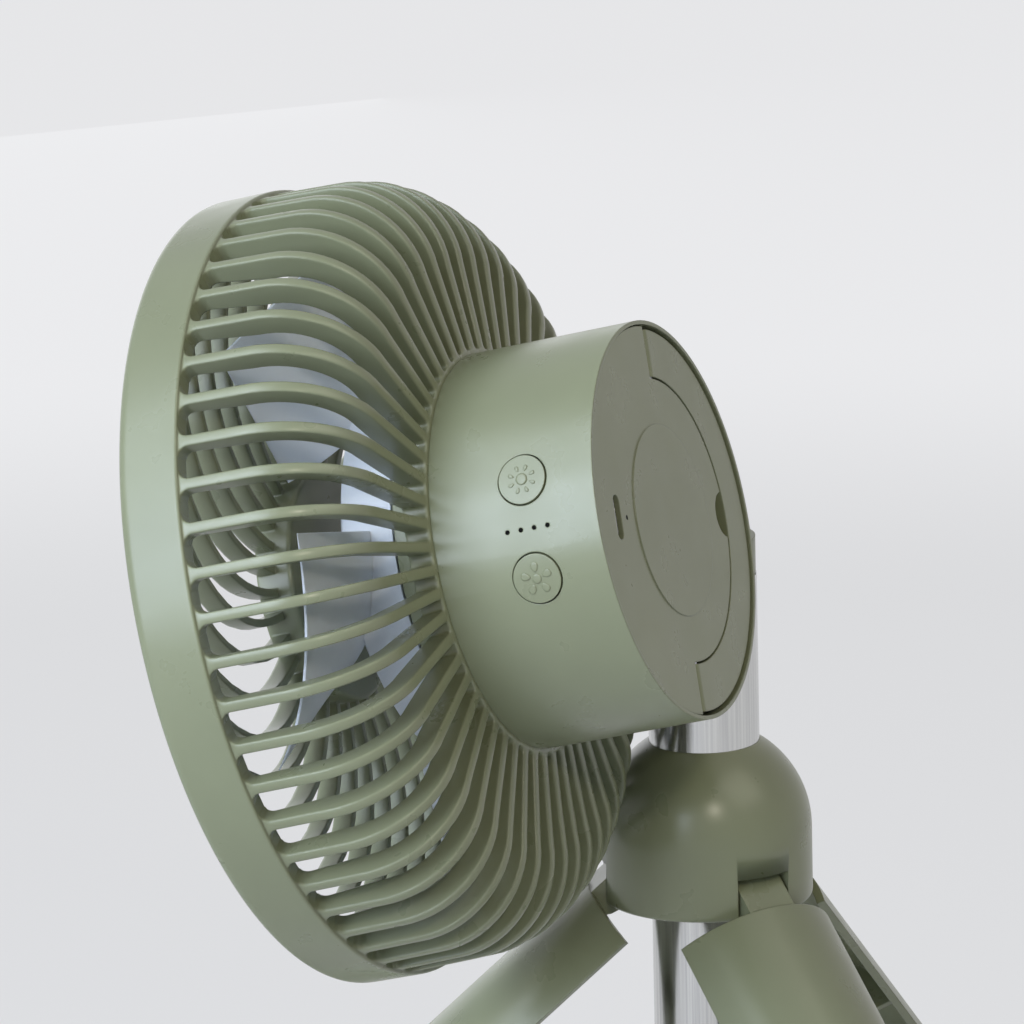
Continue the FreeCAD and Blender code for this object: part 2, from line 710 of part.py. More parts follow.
def make_hinge_pins():
    pins = []
    for index in range(int(size.leg_count.value)):
        pin = doc.addObject("Part::Cylinder", "hinge_pin_" + str(index + 1))
        bind(pin, "Radius", size.hinge_pin_radius)
        bind(pin, "Height", pin_length)
        azimuth = leg_azimuth(index)
        around = FreeCAD.Rotation(FreeCAD.Vector(*Z_AXIS), azimuth)
        flat = FreeCAD.Rotation(FreeCAD.Vector(*X_AXIS), -90)
        centre = FreeCAD.Vector(size.hinge_radius.value, -pin_length.value / 2, hinge_z.value)
        pin.Placement = FreeCAD.Placement(around.multVec(centre), around.multiply(flat))
        pins.append(pin)
    on_pole(node(group("leg_hinge_pins", pins), "leg_hinge_pins"))


# Telescopic pole

def tube_with_bush(name, radius, bore, narrow, bottom):
    """Tube up to the common top, with a guide bush inside its top end."""
    outside = cylinder(name + "_outside", radius, tube_top - bottom, z=bottom)
    inside = cylinder(name + "_inside", bore, tube_top - size.bush_height - bottom, z=bottom)
    throat = cylinder(name + "_throat", narrow, tube_top - bottom, z=bottom)
    return outside, fuse(name + "_bore", [inside, throat])


def make_pole():
    outside, bore = tube_with_bush("outer_tube", size.pole_radius, pole_bore,
                                   size.middle_radius + size.run_gap, tube_bottom)
    on_pole(node(cut("outer_tube", outside, bore), "outer_tube"))
    plug = prism("plug_body", ROUND_SIDES, pole_bore, size.plug_height, z=tube_bottom)
    flange = cylinder("plug_flange", size.pole_radius, size.plug_flange, z=tube_bottom - size.plug_flange)
    on_pole(node(fuse("tube_end_plug", [plug, flange]), "tube_end_plug"))


def make_sliding_tubes():
    rest_z = tube_bottom + size.plug_height + size.fit_gap
    outside, bore = tube_with_bush("middle_tube", size.middle_radius, middle_bore,
                                   size.inner_radius + size.run_gap, rest_z)
    guide = cylinder("middle_tube_guide", pole_bore - size.run_gap, size.guide_height, z=rest_z)
    on_pole(node(cut("middle_tube", fuse("middle_tube_body", [outside, guide]), bore), "middle_tube"))
    outside = cylinder("inner_tube_outside", size.inner_radius, tube_top - rest_z, z=rest_z)
    guide = cylinder("inner_tube_guide", middle_bore - size.run_gap, size.guide_height, z=rest_z)
    bore = cylinder("inner_tube_bore", inner_bore, tube_top - rest_z, z=rest_z)
    on_pole(node(cut("inner_tube", fuse("inner_tube_body", [outside, guide]), bore), "inner_tube"))
    inside = prism("stem_plug", ROUND_SIDES, inner_bore, size.stem_plug, z=tube_top - size.stem_plug)
    above = cylinder("stem_pin", size.stem_radius, size.stem_height, z=tube_top)
    on_pole(node(fuse("swivel_stem", [inside, above]), "swivel_stem"))


# Legs

def make_leg(index):
    name = "leg_" + str(index + 1)
    leg = new_body(name)
    outer = size.leg_radius
    inner = outer - size.leg_wall
    centre = -size.hinge_radius
    half = size.leg_half_angle
    shell_end = size.leg_length - size.foot_length
    sketch = new_sketch(leg, name + "_arc", "XY_Plane", -shell_end)
    draw_outline(sketch, [
        (centre + outer * cosine(half), -outer * sine(half), outer),
        (centre + outer * cosine(half), outer * sine(half)),
        (centre + inner * cosine(half), inner * sine(half), -inner),
        (centre + inner * cosine(half), -inner * sine(half)),
    ])
    extrude(leg, name + "_shell", sketch, shell_end - size.leg_drop)
    rib_out = outer - size.leg_wall / 2
    rib_in = size.leg_rib_radius
    rib_half = size.leg_rib_half_angle
    rib_sketch = new_sketch(leg, name + "_rib_outline", "XY_Plane", -shell_end)
    outer_side = arc_steps(centre, dim(0), rib_out, -rib_half, rib_half, RIB_STEPS + 1)
    inner_side = arc_steps(centre, dim(0), rib_in, rib_half, -rib_half, RIB_STEPS)
    draw_outline(rib_sketch, outer_side + inner_side)
    rib = extrude(leg, name + "_rib", rib_sketch, size.leg_rib_wall)
    reach = size.leg_rib_pitch * (size.leg_rib_count - 1)
    linear(leg, name + "_ribs", rib, "Z_Axis", reach, size.leg_rib_count)
    barrel = size.hinge_barrel
    face = centre + root(outer * outer - half_neck * half_neck)
    corner = size.neck_corner
    root_z = size.leg_drop + size.neck_root
    neck_sketch = new_sketch(leg, name + "_neck_side", "XZ_Plane")
    draw_outline(neck_sketch, [
        (-barrel, 0, -barrel),
        (0, barrel),
        (face - corner, barrel, -corner),
        (face, barrel - corner),
        (face, -root_z),
        (face - size.leg_wall / 2, -root_z),
        (-barrel / 2, -size.leg_drop),
    ])
    extrude(leg, name + "_neck", neck_sketch, size.neck_width, both=True)
    doc.recompute()
    volume = leg.Shape.Volume
    bore_sketch = new_sketch(leg, name + "_bore_circle", "XZ_Plane")
    draw_circle(bore_sketch, 0, 0, size.hinge_pin_radius + size.run_gap)
    bore = extrude(leg, name + "_bore", bore_sketch, size.neck_width * 2, both=True, cutting=True)
    must_change(volume, bore, True)
    on_leg(leg, index)


def make_foot(index):
    name = "foot_" + str(index + 1)
    foot = new_body(name)
    outer = size.leg_radius
    inner = outer - size.foot_depth
    centre = -size.hinge_radius
    half = size.leg_half_angle
    top = size.leg_length - size.foot_length
    below = size.leg_length + size.leg_radius
    sketch = new_sketch(foot, name + "_outline", "XY_Plane", -below)
    outer_side = arc_steps(centre, dim(0), outer, -half, half, FOOT_STEPS)
    inner_side = arc_steps(centre, dim(0), inner, half, -half, RIB_STEPS)
    draw_outline(sketch, outer_side + inner_side)
    extrude(foot, name + "_block", sketch, below - top)
    doc.recompute()
    volume = foot.Shape.Volume
    reach = size.leg_radius
    slope = tangent(size.leg_spread)
    floor_sketch = new_sketch(foot, name + "_floor_line", "XZ_Plane")
    draw_outline(floor_sketch, [
        (-reach, reach * slope - size.leg_length),
        (-reach, -below - reach),
        (reach, -below - reach * slope),
        (reach, -reach * slope - size.leg_length),
    ])
    floor = extrude(foot, name + "_floor", floor_sketch, reach * 4, both=True, cutting=True)
    must_change(volume, floor, True)
    on_leg(foot, index)


# Neck, tilt pin and washer

def make_neck():
    neck = new_body("swivel_neck")
    base = tube_top + size.fit_gap
    top = tube_top + size.collar_height
    revolve(neck, "neck_collar", "XZ_Plane", [
        (0, base),
        (size.collar_radius, base),
        (size.collar_radius, top),
        (0, top),
    ])
    half = size.tongue_half_width
    sketch = new_sketch(neck, "tongue_side", "YZ_Plane")
    draw_outline(sketch, [
        (-half, base),
        (half, base),
        (half, pivot_z, half),
        (0, pivot_z + half, half),
        (-half, pivot_z),
    ])
    extrude(neck, "neck_tongue", sketch, size.tongue_thickness, both=True)
    doc.recompute()
    volume = neck.Shape.Volume
    hole_sketch = new_sketch(neck, "tilt_circle", "YZ_Plane")
    draw_circle(hole_sketch, 0, pivot_z, size.tilt_pin_radius + size.run_gap)
    hole = extrude(neck, "tilt_bore", hole_sketch, size.tongue_thickness * 2, both=True, cutting=True)
    volume = must_change(volume, hole, True)
    revolve(neck, "stem_bore", "XZ_Plane", [
        (0, tube_top),
        (size.stem_radius + size.run_gap, tube_top),
        (size.stem_radius + size.run_gap, tube_top + size.stem_height + size.fit_gap),
        (0, tube_top + size.stem_height + size.fit_gap),
    ], cutting=True)
    must_change(volume, neck.Tip, True)
    on_pole(neck)


def make_tilt_pin():
    length = pin_side * 2 + size.tilt_washer_height + size.tilt_pin_depth
    shank = cylinder("tilt_shank", size.tilt_pin_radius, length,
                     -size.head_offset - pin_side, -size.pivot_ahead, 0, X_AXIS)
    head = prism("tilt_head", ROUND_SIDES, size.tilt_pin_head, size.tilt_pin_head_height,
                 -size.head_offset - pin_side - size.tilt_pin_head_height, -size.pivot_ahead, 0, X_AXIS)
    on_head(node(fuse("tilt_pin", [shank, head]), "tilt_pin"))
    disc = prism("washer_disc", ROUND_SIDES, size.tilt_washer_radius, size.tilt_washer_height,
                 washer_x, -size.pivot_ahead, 0, X_AXIS)
    hole = cylinder("washer_hole", size.tilt_pin_radius, size.tilt_washer_height,
                    washer_x, -size.pivot_ahead, 0, X_AXIS)
    on_head(node(cut("tilt_washer", disc, hole), "tilt_washer"))


# Drum

def led_place(index):
    """An indicator's place along the head axis."""
    return size.led_pitch * index - size.led_pitch * (size.led_count - 1) / 2 - size.panel_depth


def make_drum():
    drum = new_body("drum_housing")
    rim = size.drum_radius - size.rim_lip
    seat = size.plate_inset + size.plate_wall + size.plate_floor
    ledge_end = ledge_depth + size.ledge_wall
    throat = collar_radius_front - size.rotor_wall
    step = size.drum_length - size.drum_wall
    revolve(drum, "drum_wall", "XY_Plane", [
        (size.drum_radius, 0),
        (size.drum_radius, -size.drum_length),
        (collar_radius_front, -size.drum_length),
        (collar_radius_front, -collar_end),
        (size.wire_hole, -collar_end),
        (size.wire_hole, -wall_back),
        (throat, -wall_back),
        (throat, -step),
        (drum_bore, -step),
        (drum_bore, -ledge_end),
        (size.ledge_radius, -ledge_end),
        (size.ledge_radius, -ledge_depth),
        (drum_bore, -ledge_depth),
        (drum_bore, -seat),
        (rim, -seat),
        (rim, 0),
    ])
    sketch = new_sketch(drum, "boss_circle", "YZ_Plane", boss_x)
    draw_circle(sketch, -size.pivot_ahead, 0, size.boss_radius)
    inside = drum_bore + size.drum_wall / 4
    extrude(drum, "tilt_boss", sketch, -inside - boss_x)
    doc.recompute()
    volume = drum.Shape.Volume
    sketch = new_sketch(drum, "boss_bore_circle", "YZ_Plane", boss_x)
    draw_circle(sketch, -size.pivot_ahead, 0, size.tilt_pin_radius)
    bore = extrude(drum, "boss_bore", sketch, size.tilt_pin_depth, back=True, cutting=True)
    volume = must_change(volume, bore, True)
    for side in (1, -1):
        name = "upper" if side > 0 else "lower"
        sketch = new_sketch(drum, name + "_button_circle", "YZ_Plane",
                            twist=(X_AXIS, -size.panel_turn.value - side * size.button_angle.value))
        draw_circle(sketch, -size.panel_depth, 0, size.button_radius + size.button_gap)
        hole = extrude(drum, name + "_button_hole", sketch, size.drum_radius * 2, back=True, cutting=True)
        volume = must_change(volume, hole, True)
    for index in range(int(size.led_count.value)):
        name = "led_hole_" + str(index + 1)
        sketch = new_sketch(drum, name + "_outline", "YZ_Plane", twist=(X_AXIS, -size.panel_turn.value))
        draw_polygon(sketch, led_place(index), 0, size.led_radius, SMALL_SIDES)
        hole = extrude(drum, name, sketch, size.drum_radius * 2, back=True, cutting=True)
        volume = must_change(volume, hole, True)
    sketch = new_sketch(drum, "motor_screw_outline", "XZ_Plane", wall_back - size.overrun)
    draw_polygon(sketch, size.motor_screw_circle, 0, size.motor_screw_radius, SCREW_SIDES)
    depth = size.front_wall + size.overrun * 2
    hole = extrude(drum, "motor_screw_hole", sketch, depth, back=True, cutting=True)
    volume = must_change(volume, hole, True)
    holes = polar(drum, "motor_screw_holes", hole, "Y_Axis", size.motor_screw_count)
    must_change(volume, holes, True)
    on_head(drum)


# Rear plate, carrying handle and charging socket

def make_rear_plate():
    plate = new_body("rear_plate")
    rim = size.drum_radius - size.rim_lip - size.fit_gap
    seat = size.plate_inset + size.plate_wall
    floor_end = seat + size.plate_floor
    revolve(plate, "plate_disc", "XY_Plane", [
        (0, -size.plate_inset + size.plate_disc_rise),
        (size.plate_disc, -size.plate_inset + size.plate_disc_rise),
        (size.plate_disc, -size.plate_inset),
        (rim, -size.plate_inset),
        (rim, -floor_end),
        (0, -floor_end),
    ])
    doc.recompute()
    volume = plate.Shape.Volume
    outer = size.drum_radius
    inner = size.handle_inner - size.handle_gap
    edge = -size.handle_axis_x + size.handle_thick / 2 + size.fit_gap + size.fit_gap
    inner_z = root(inner * inner - edge * edge)
    outer_z = root(outer * outer - edge * edge)
    sketch = new_sketch(plate, "handle_recess_outline", "XZ_Plane")
    draw_outline(sketch, [
        (edge, outer_z, outer),
        (-outer, 0, outer),
        (edge, -outer_z),
        (edge, -inner_z, -inner),
        (-inner, 0, -inner),
        (edge, inner_z),
    ])
    recess = extrude(plate, "handle_recess", sketch, seat, cutting=True, back=True)
    volume = must_change(volume, recess, True)
    sketch = new_sketch(plate, "notch_outline", "XZ_Plane")
    draw_circle(sketch, -inner, size.notch_rise, size.notch_reach)
    notch = extrude(plate, "finger_notch", sketch, seat, cutting=True, back=True)
    volume = must_change(volume, notch, True)
    half = (size.usb_length - size.usb_width) / 2
    radius = size.usb_width / 2
    sketch = new_sketch(plate, "usb_outline", "XZ_Plane")
    draw_outline(sketch, [
        (size.usb_x + radius, -half),
        (size.usb_x + radius, half, radius),
        (size.usb_x, half + radius, radius),
        (size.usb_x - radius, half),
        (size.usb_x - radius, -half, radius),
        (size.usb_x, -half - radius, radius),
    ])
    slot = extrude(plate, "usb_slot", sketch, floor_end + size.overrun, cutting=True, back=True)
    volume = must_change(volume, slot, True)
    sketch = new_sketch(plate, "charge_led_circle", "XZ_Plane")
    draw_polygon(sketch, size.charge_led_x, 0, size.led_radius, SMALL_SIDES)
    hole = extrude(plate, "charge_led_hole", sketch, floor_end + size.overrun, cutting=True, back=True)
    volume = must_change(volume, hole, True)
    axis_y = size.handle_inset + size.handle_thick / 2
    for side in (1, -1):
        name = "upper" if side > 0 else "lower"
        lift = (inner_z - size.handle_pin_in) * side
        sketch = new_sketch(plate, name + "_pin_circle", "XY_Plane", lift)
        draw_circle(sketch, -size.handle_axis_x, -axis_y, size.handle_pin_radius)
        hole = extrude(plate, name + "_pin_hole", sketch, size.handle_pin_in * 2, cutting=True, back=side > 0)
        volume = must_change(volume, hole, True)
    on_panel(plate)


def make_handle():
    handle = new_body("carry_handle")
    thick = size.handle_thick
    axis_y = size.handle_inset + thick / 2
    axis_x = -size.handle_axis_x
    inner = size.handle_inner
    outer = size.handle_outer
    inner_z = root(inner * inner - axis_x * axis_x)
    outer_z = root(outer * outer - axis_x * axis_x)
    sketch = new_sketch(handle, "handle_outline", "XZ_Plane", size.handle_inset)
    draw_outline(sketch, [
        (axis_x, outer_z, outer),
        (-outer, 0, outer),
        (axis_x, -outer_z),
        (axis_x, -inner_z, -inner),
        (-inner, 0, -inner),
        (axis_x, inner_z),
    ])
    extrude(handle, "handle_arc", sketch, thick)
    for side in (1, -1):
        name = "upper" if side > 0 else "lower"
        low = inner_z * side
        sketch = new_sketch(handle, name + "_knuckle_circle", "XY_Plane", low)
        draw_circle(sketch, axis_x, -axis_y, thick / 2)
        extrude(handle, name + "_knuckle", sketch, outer_z - inner_z, back=side < 0)
    doc.recompute()
    volume = handle.Shape.Volume
    for side in (1, -1):
        name = "upper" if side > 0 else "lower"
        sketch = new_sketch(handle, name + "_pin_circle", "XY_Plane", (inner_z - size.overrun) * side)
        draw_circle(sketch, axis_x, -axis_y, size.handle_pin_radius + size.run_gap)
        depth = size.handle_pin_out + size.fit_gap + size.overrun
        hole = extrude(handle, name + "_pin_bore", sketch, depth, cutting=True, back=side > 0)
        volume = must_change(volume, hole, True)
    on_panel(handle)


def make_handle_pins():
    axis_y = size.handle_inset + size.handle_thick / 2
    edge = -size.handle_axis_x + size.handle_thick / 2 + size.fit_gap + size.fit_gap
    recess = size.handle_inner - size.handle_gap
    start = root(recess * recess - edge * edge) - size.handle_pin_in
    finish = root(size.handle_inner * size.handle_inner - size.handle_axis_x * size.handle_axis_x)
    length = finish + size.handle_pin_out - start
    upper = cylinder("upper_handle_pin", size.handle_pin_radius, length, -size.handle_axis_x, -axis_y, start)
    lower = cylinder("lower_handle_pin", size.handle_pin_radius, length,
                     -size.handle_axis_x, -axis_y, -start - length)
    on_panel(node(group("handle_pins", [upper, lower]), "handle_pins"))


def make_usb_socket():
    socket = new_body("usb_socket")
    radius = size.usb_width / 2 - size.usb_shell
    half = size.usb_length / 2 - size.usb_shell - radius
    sketch = new_sketch(socket, "socket_outline", "XZ_Plane", size.usb_inset)
    draw_outline(sketch, [
        (size.usb_x + radius, -half),
        (size.usb_x + radius, half, radius),
        (size.usb_x, half + radius, radius),
        (size.usb_x - radius, half),
        (size.usb_x - radius, -half, radius),
        (size.usb_x, -half - radius, radius),
    ])
    extrude(socket, "socket_shell", sketch, size.board_depth - size.usb_inset)
    doc.recompute()
    volume = socket.Shape.Volume
    bore = radius - size.usb_wall
    sketch = new_sketch(socket, "mouth_outline", "XZ_Plane", size.usb_inset)
    draw_outline(sketch, [
        (size.usb_x + bore, -half),
        (size.usb_x + bore, half, bore),
        (size.usb_x, half + bore, bore),
        (size.usb_x - bore, half),
        (size.usb_x - bore, -half, bore),
        (size.usb_x, -half - bore, bore),
    ])
    mouth = extrude(socket, "socket_mouth", sketch, size.board_depth - size.usb_inset - size.usb_wall * 2,
                    cutting=True, back=True)
    must_change(volume, mouth, True)
    on_panel(socket)


# Electronics and battery

def make_boards():
    board = prism("board_disc", ROUND_SIDES, drum_bore - size.fit_gap, size.board_wall,
                  0, -ledge_depth, 0, Y_AXIS)
    on_head(node(group("main_board", [board]), "main_board"))
    carrier = new_body("switch_carrier")
    outer = size.carrier_radius
    inner = outer - size.carrier_wall
    half = size.carrier_half_angle
    sketch = new_sketch(carrier, "carrier_arc", "XZ_Plane", ledge_depth)
    draw_outline(sketch, [
        (outer * cosine(half), -outer * sine(half), outer),
        (outer * cosine(half), outer * sine(half)),
        (inner * cosine(half), inner * sine(half), -inner),
        (inner * cosine(half), -inner * sine(half)),
    ])
    extrude(carrier, "carrier_wall", sketch, size.carrier_length)
    on_panel(carrier)


def point_outwards(obj, start, angle):
    """Stand a bar out from the head axis at the given angle above +X."""
    turn(obj, Y_AXIS, 90 - angle.value)
    return move(obj, start * cosine(angle), -size.panel_depth, start * sine(angle))


def make_buttons():
    for name, side in (("light_button", 1), ("fan_button", -1)):
        angle = size.button_angle * side
        flange_low = size.button_flange_top - size.button_flange_wall
        stem_low = size.carrier_radius + size.switch_height + size.button_travel + size.fit_gap
        stem = prism(name + "_stem", SMALL_SIDES, size.button_stem, flange_low - stem_low)
        point_outwards(stem, stem_low, angle)
        flange = prism(name + "_flange", ROUND_SIDES, size.button_flange, size.button_flange_wall)
        point_outwards(flange, flange_low, angle)
        cap = cylinder(name + "_cap", size.button_radius, size.drum_radius * 2 - size.button_flange_top)
        point_outwards(cap, size.button_flange_top, angle)
        face = cylinder(name + "_face", size.button_top, size.drum_length, 0, -size.drum_length, 0, Y_AXIS)
        top = doc.addObject("Part::Common", name + "_top")
        top.Base = cap
        top.Tool = face
        on_panel(node(fuse(name, [stem, flange, top]), name))
    switches = []
    for side in (1, -1):
        name = "upper_switch" if side > 0 else "lower_switch"
        switch = prism(name, SMALL_SIDES, size.switch_radius, size.switch_height)
        switches.append(point_outwards(switch, size.carrier_radius, size.button_angle * side))
    on_panel(node(group("switches", switches), "switches"))


def make_indicators():
    lenses = []
    inside = drum_bore - size.fit_gap
    for index in range(int(size.led_count.value)):
        lenses.append(prism("indicator_" + str(index + 1), SMALL_SIDES, size.led_radius,
                            size.drum_radius - inside, inside, led_place(index), 0, X_AXIS))
    seat = size.board_depth - size.plate_inset
    lenses.append(prism("charge_indicator", SMALL_SIDES, size.led_radius, seat,
                        size.charge_led_x, -size.board_depth, 0, Y_AXIS))
    on_panel(node(group("indicator_lenses", lenses), "indicator_lenses"))


def make_battery():
    cells = []
    spread = size.cell_radius + size.fit_gap / 2
    for side in (1, -1):
        name = "cell_left" if side > 0 else "cell_right"
        cells.append(prism(name, ROUND_SIDES, size.cell_radius, size.cell_length,
                           spread * side, -size.cell_depth, -size.cell_length / 2))
    on_head(node(group("battery_cells", cells), "battery_cells"))
    low = (-size.cradle_half_x, -wall_back, -size.cradle_half_z)
    high = (size.cradle_half_x, -size.cell_depth, size.cradle_half_z)
    block = box("cradle_block", low, high)
    inner_x = size.cradle_half_x - size.cradle_wall
    inner_z = size.cradle_half_z - size.cradle_wall
    window = box("cradle_window",
                 (-inner_x, -wall_back - size.overrun, -inner_z),
                 (inner_x, size.overrun - size.cell_depth, inner_z))
    seats = []
    for side in (1, -1):
        name = "seat_left" if side > 0 else "seat_right"
        seats.append(prism(name, ROUND_SIDES, size.cell_radius, size.cell_length,
                           spread * side, -size.cell_depth, -size.cell_length / 2))
    frame = cut("cradle_frame", block, window)
    on_head(node(cut("battery_cradle", frame, fuse("cradle_seats", seats)), "battery_cradle"))


# Motor and rotor

def make_motor():
    can = cylinder("motor_body", size.motor_radius, size.motor_length,
                   0, -collar_end - size.motor_length, 0, Y_AXIS)
    bore = cylinder("motor_bore", size.shaft_radius + size.run_gap, size.motor_length,
                    0, -collar_end - size.motor_length, 0, Y_AXIS)
    tools = [bore]
    screws = []
    for index in range(int(size.motor_screw_count.value)):
        angle = dim(360) / size.motor_screw_count * index
        x = size.motor_screw_circle * cosine(angle)
        z = size.motor_screw_circle * sine(angle)
        name = "motor_screw_" + str(index + 1)
        tools.append(prism(name + "_hole", SCREW_SIDES, size.motor_screw_radius, size.motor_screw_depth,
                           x, -collar_end - size.motor_screw_depth, z, Y_AXIS))
        shank = prism(name + "_shank", SCREW_SIDES, size.motor_screw_radius,
                      size.motor_screw_depth + size.front_wall,
                      x, -collar_end - size.motor_screw_depth, z, Y_AXIS)
        head = prism(name + "_head", SCREW_SIDES, size.motor_screw_head, size.motor_screw_head_height,
                     x, -wall_back, z, Y_AXIS)
        screws.append(fuse(name, [shank, head]))
    on_head(node(cut("motor_can", can, fuse("motor_holes", tools)), "motor_can"))
    on_head(node(group("motor_screws", screws), "motor_screws"))
    boss_low = rotor_front - size.rotor_wall - size.rotor_boss_length
    shaft_start = collar_end + size.fit_gap
    shaft = cylinder("shaft_rod", size.shaft_radius, boss_low + size.shaft_in_boss - shaft_start,
                     0, -boss_low - size.shaft_in_boss, 0, Y_AXIS)
    on_head(node(group("motor_shaft", [shaft]), "motor_shaft"))


def blade_section(body, name, plane_radius, chord, rise):
    """Cambered section of a blade: a thin strip from its trailing edge at the back to its
    leading edge at the front. The camber follows a parabola."""
    sketch = new_sketch(body, name, "YZ_Plane", plane_radius)
    half = size.blade_thickness / 2
    length = root(chord * chord + rise * rise)
    back_side = []
    for step in range(BLADE_STEPS + 1):
        along = 2 * step / BLADE_STEPS - 1
        bulge = size.blade_camber * (1 - along * along)
        back_side.append((rise * along - size.blade_depth + bulge * chord / length,
                          chord * along - bulge * rise / length))
    front_side = [(x + half, y - half) for x, y in reversed(back_side)]
    draw_outline(sketch, back_side + front_side)
    return sketch


def crown(base, radius):
    """Depth of the rotor's domed front at a radius. It follows a parabola."""
    share = radius / size.rotor_radius
    return base + size.rotor_crown * (1 - share * share)


def make_rotor():
    rotor = new_body("fan_rotor")
    side_end = rotor_back + size.rotor_side
    outside = [size.rotor_radius * (1 - step / CROWN_STEPS) for step in range(CROWN_STEPS)]
    revolve(rotor, "rotor_hub", "XY_Plane", [
        (0, -rotor_back),
        (size.rotor_radius, -rotor_back),
    ] + [(radius, -crown(side_end, radius)) for radius in outside] + [(0, -rotor_front)])
    root_section = blade_section(rotor, "blade_root", size.blade_root_radius, size.blade_root_chord,
                                 size.blade_root_rise)
    end_section = blade_section(rotor, "blade_end", size.blade_end_radius, size.blade_end_chord,
                                size.blade_end_rise)
    blade = rotor.newObject("PartDesign::AdditiveLoft", "blade")
    blade.Profile = root_section
    blade.Sections = [end_section]
    blade.Ruled = True
    doc.recompute()
    polar(rotor, "blades", blade, "Y_Axis", size.blade_count)
    doc.recompute()
    volume = rotor.Shape.Volume
    between = dim(180) / size.blade_count
    bore = size.rotor_radius - size.rotor_wall
    crown_low = side_end - size.rotor_wall
    boss_low = rotor_front - size.rotor_wall - size.rotor_boss_length
    inside = [bore - (bore - size.rotor_boss) * (step / CROWN_STEPS) for step in range(CROWN_STEPS + 1)]
    cup = revolve(rotor, "rotor_cup", "XY_Plane", [
        (0, size.overrun - rotor_back),
        (bore, size.overrun - rotor_back),
    ] + [(radius, -crown(crown_low, radius)) for radius in inside] + [
        (size.rotor_boss, -boss_low),
        (0, -boss_low),
    ], cutting=True, seam=between)
    volume = must_change(volume, cup, True)
    far = size.blade_end_radius + size.blade_end_chord
    trim = revolve(rotor, "tip_trim", "XY_Plane", [
        (size.blade_tip, -rotor_back),
        (far, -rotor_back),
        (far, -size.bezel_depth),
        (size.blade_tip, -size.bezel_depth),
    ], cutting=True, seam=between)
    volume = must_change(volume, trim, True)
    bore_cut = revolve(rotor, "shaft_bore", "XY_Plane", [
        (0, size.overrun - boss_low),
        (size.shaft_radius, size.overrun - boss_low),
        (size.shaft_radius, -boss_low - size.shaft_in_boss),
        (0, -boss_low - size.shaft_in_boss),
    ], cutting=True)
    must_change(volume, bore_cut, True)
    on_head(rotor)


# Rear grille: a round shoulder of slots between the drum and the front ring

def make_rear_grille():
    grille = new_body("rear_grille")
    root_in = collar_radius_front
    root_out = root_in + size.root_ring_wall
    shoulder = size.shoulder_radius
    turn_depth = size.drum_length + size.shoulder_rise + size.shoulder_round
    deep = size.rib_depth
    sink = size.rib_sink
    front_edge = arc_steps(size.bezel_radius - size.bezel_round, size.bezel_round - size.bezel_depth,
                           size.bezel_round, 0, -90, BEZEL_STEPS)
    revolve(grille, "front_ring", "XY_Plane", [
        (size.bezel_bore, -size.slot_end_depth),
        (size.bezel_radius, -size.slot_end_depth),
    ] + front_edge + [
        (size.bezel_bore, -size.bezel_depth),
    ])
    wall_in = root_in + size.rib_overlap
    end = -size.slot_end_depth - size.rib_overlap
    outside = arc_steps(shoulder, -turn_depth, size.shoulder_round, 90, 0, SHOULDER_STEPS)
    inside = arc_steps(shoulder, -turn_depth, size.shoulder_round - deep, 0, 90, SHOULDER_STEPS)
    sketch = new_sketch(grille, "rib_side", "XY_Plane")
    draw_outline(sketch, [
        (wall_in, -size.drum_length - sink),
    ] + outside + [
        (size.slot_end_radius, end),
        (size.bezel_bore + sink, end),
    ] + inside + [
        (wall_in, sink - size.drum_length - deep),
    ])
    rib = extrude(grille, "rear_rib", sketch, size.rib_wall, both=True)
    polar(grille, "rear_ribs", rib, "Y_Axis", size.rib_count)
    revolve(grille, "root_ring", "XY_Plane", [
        (root_in, -size.drum_length),
        (root_out, -size.drum_length),
        (root_out, -size.drum_length - deep),
        (root_in, -size.drum_length - deep),
    ])
    on_panel(grille)


# Front grille: curved ribs between a lamp cup and an outer ring

def make_front_grille():
    front = new_body("front_grille")
    front.AllowCompound = True
    face = size.bezel_depth - size.front_inset
    cup_back = face - size.lamp_depth
    lamp_in = size.lamp_radius - size.lamp_wall
    ring_in = size.bezel_bore - size.front_ring_wall
    revolve(front, "lamp_cup", "XY_Plane", [
        (0, -cup_back),
        (size.lamp_radius, -cup_back),
        (size.lamp_radius, -face),
        (lamp_in, -face),
        (lamp_in, -cup_back - size.lamp_floor),
        (0, -cup_back - size.lamp_floor),
    ])
    ring_sketch = new_sketch(front, "outer_ring_circles", "XZ_Plane", face - size.front_ring_depth)
    draw_circle(ring_sketch, 0, 0, size.bezel_bore)
    draw_circle(ring_sketch, 0, 0, ring_in)
    extrude(front, "outer_ring", ring_sketch, size.front_ring_depth)
    start = size.lamp_radius - size.lamp_wall / 2
    finish = ring_in + size.front_ring_wall / 2
    sides = []
    for across in (-size.front_rib_wall / 2, size.front_rib_wall / 2):
        side = []
        for step in range(RIB_STEPS + 1):
            share = step / RIB_STEPS
            radius = start + (finish - start) * share
            angle = size.front_rib_lean * (share * share)
            side.append((radius * cosine(angle) - across * sine(angle),
                         radius * sine(angle) + across * cosine(angle)))
        sides.append(side)
    sketch = new_sketch(front, "front_rib_outline", "XZ_Plane", face - size.front_rib_depth)
    draw_outline(sketch, sides[0] + sides[1][::-1])
    rib = extrude(front, "front_rib", sketch, size.front_rib_depth)
    polar(front, "front_ribs", rib, "Y_Axis", size.front_rib_count)
    on_head(front)


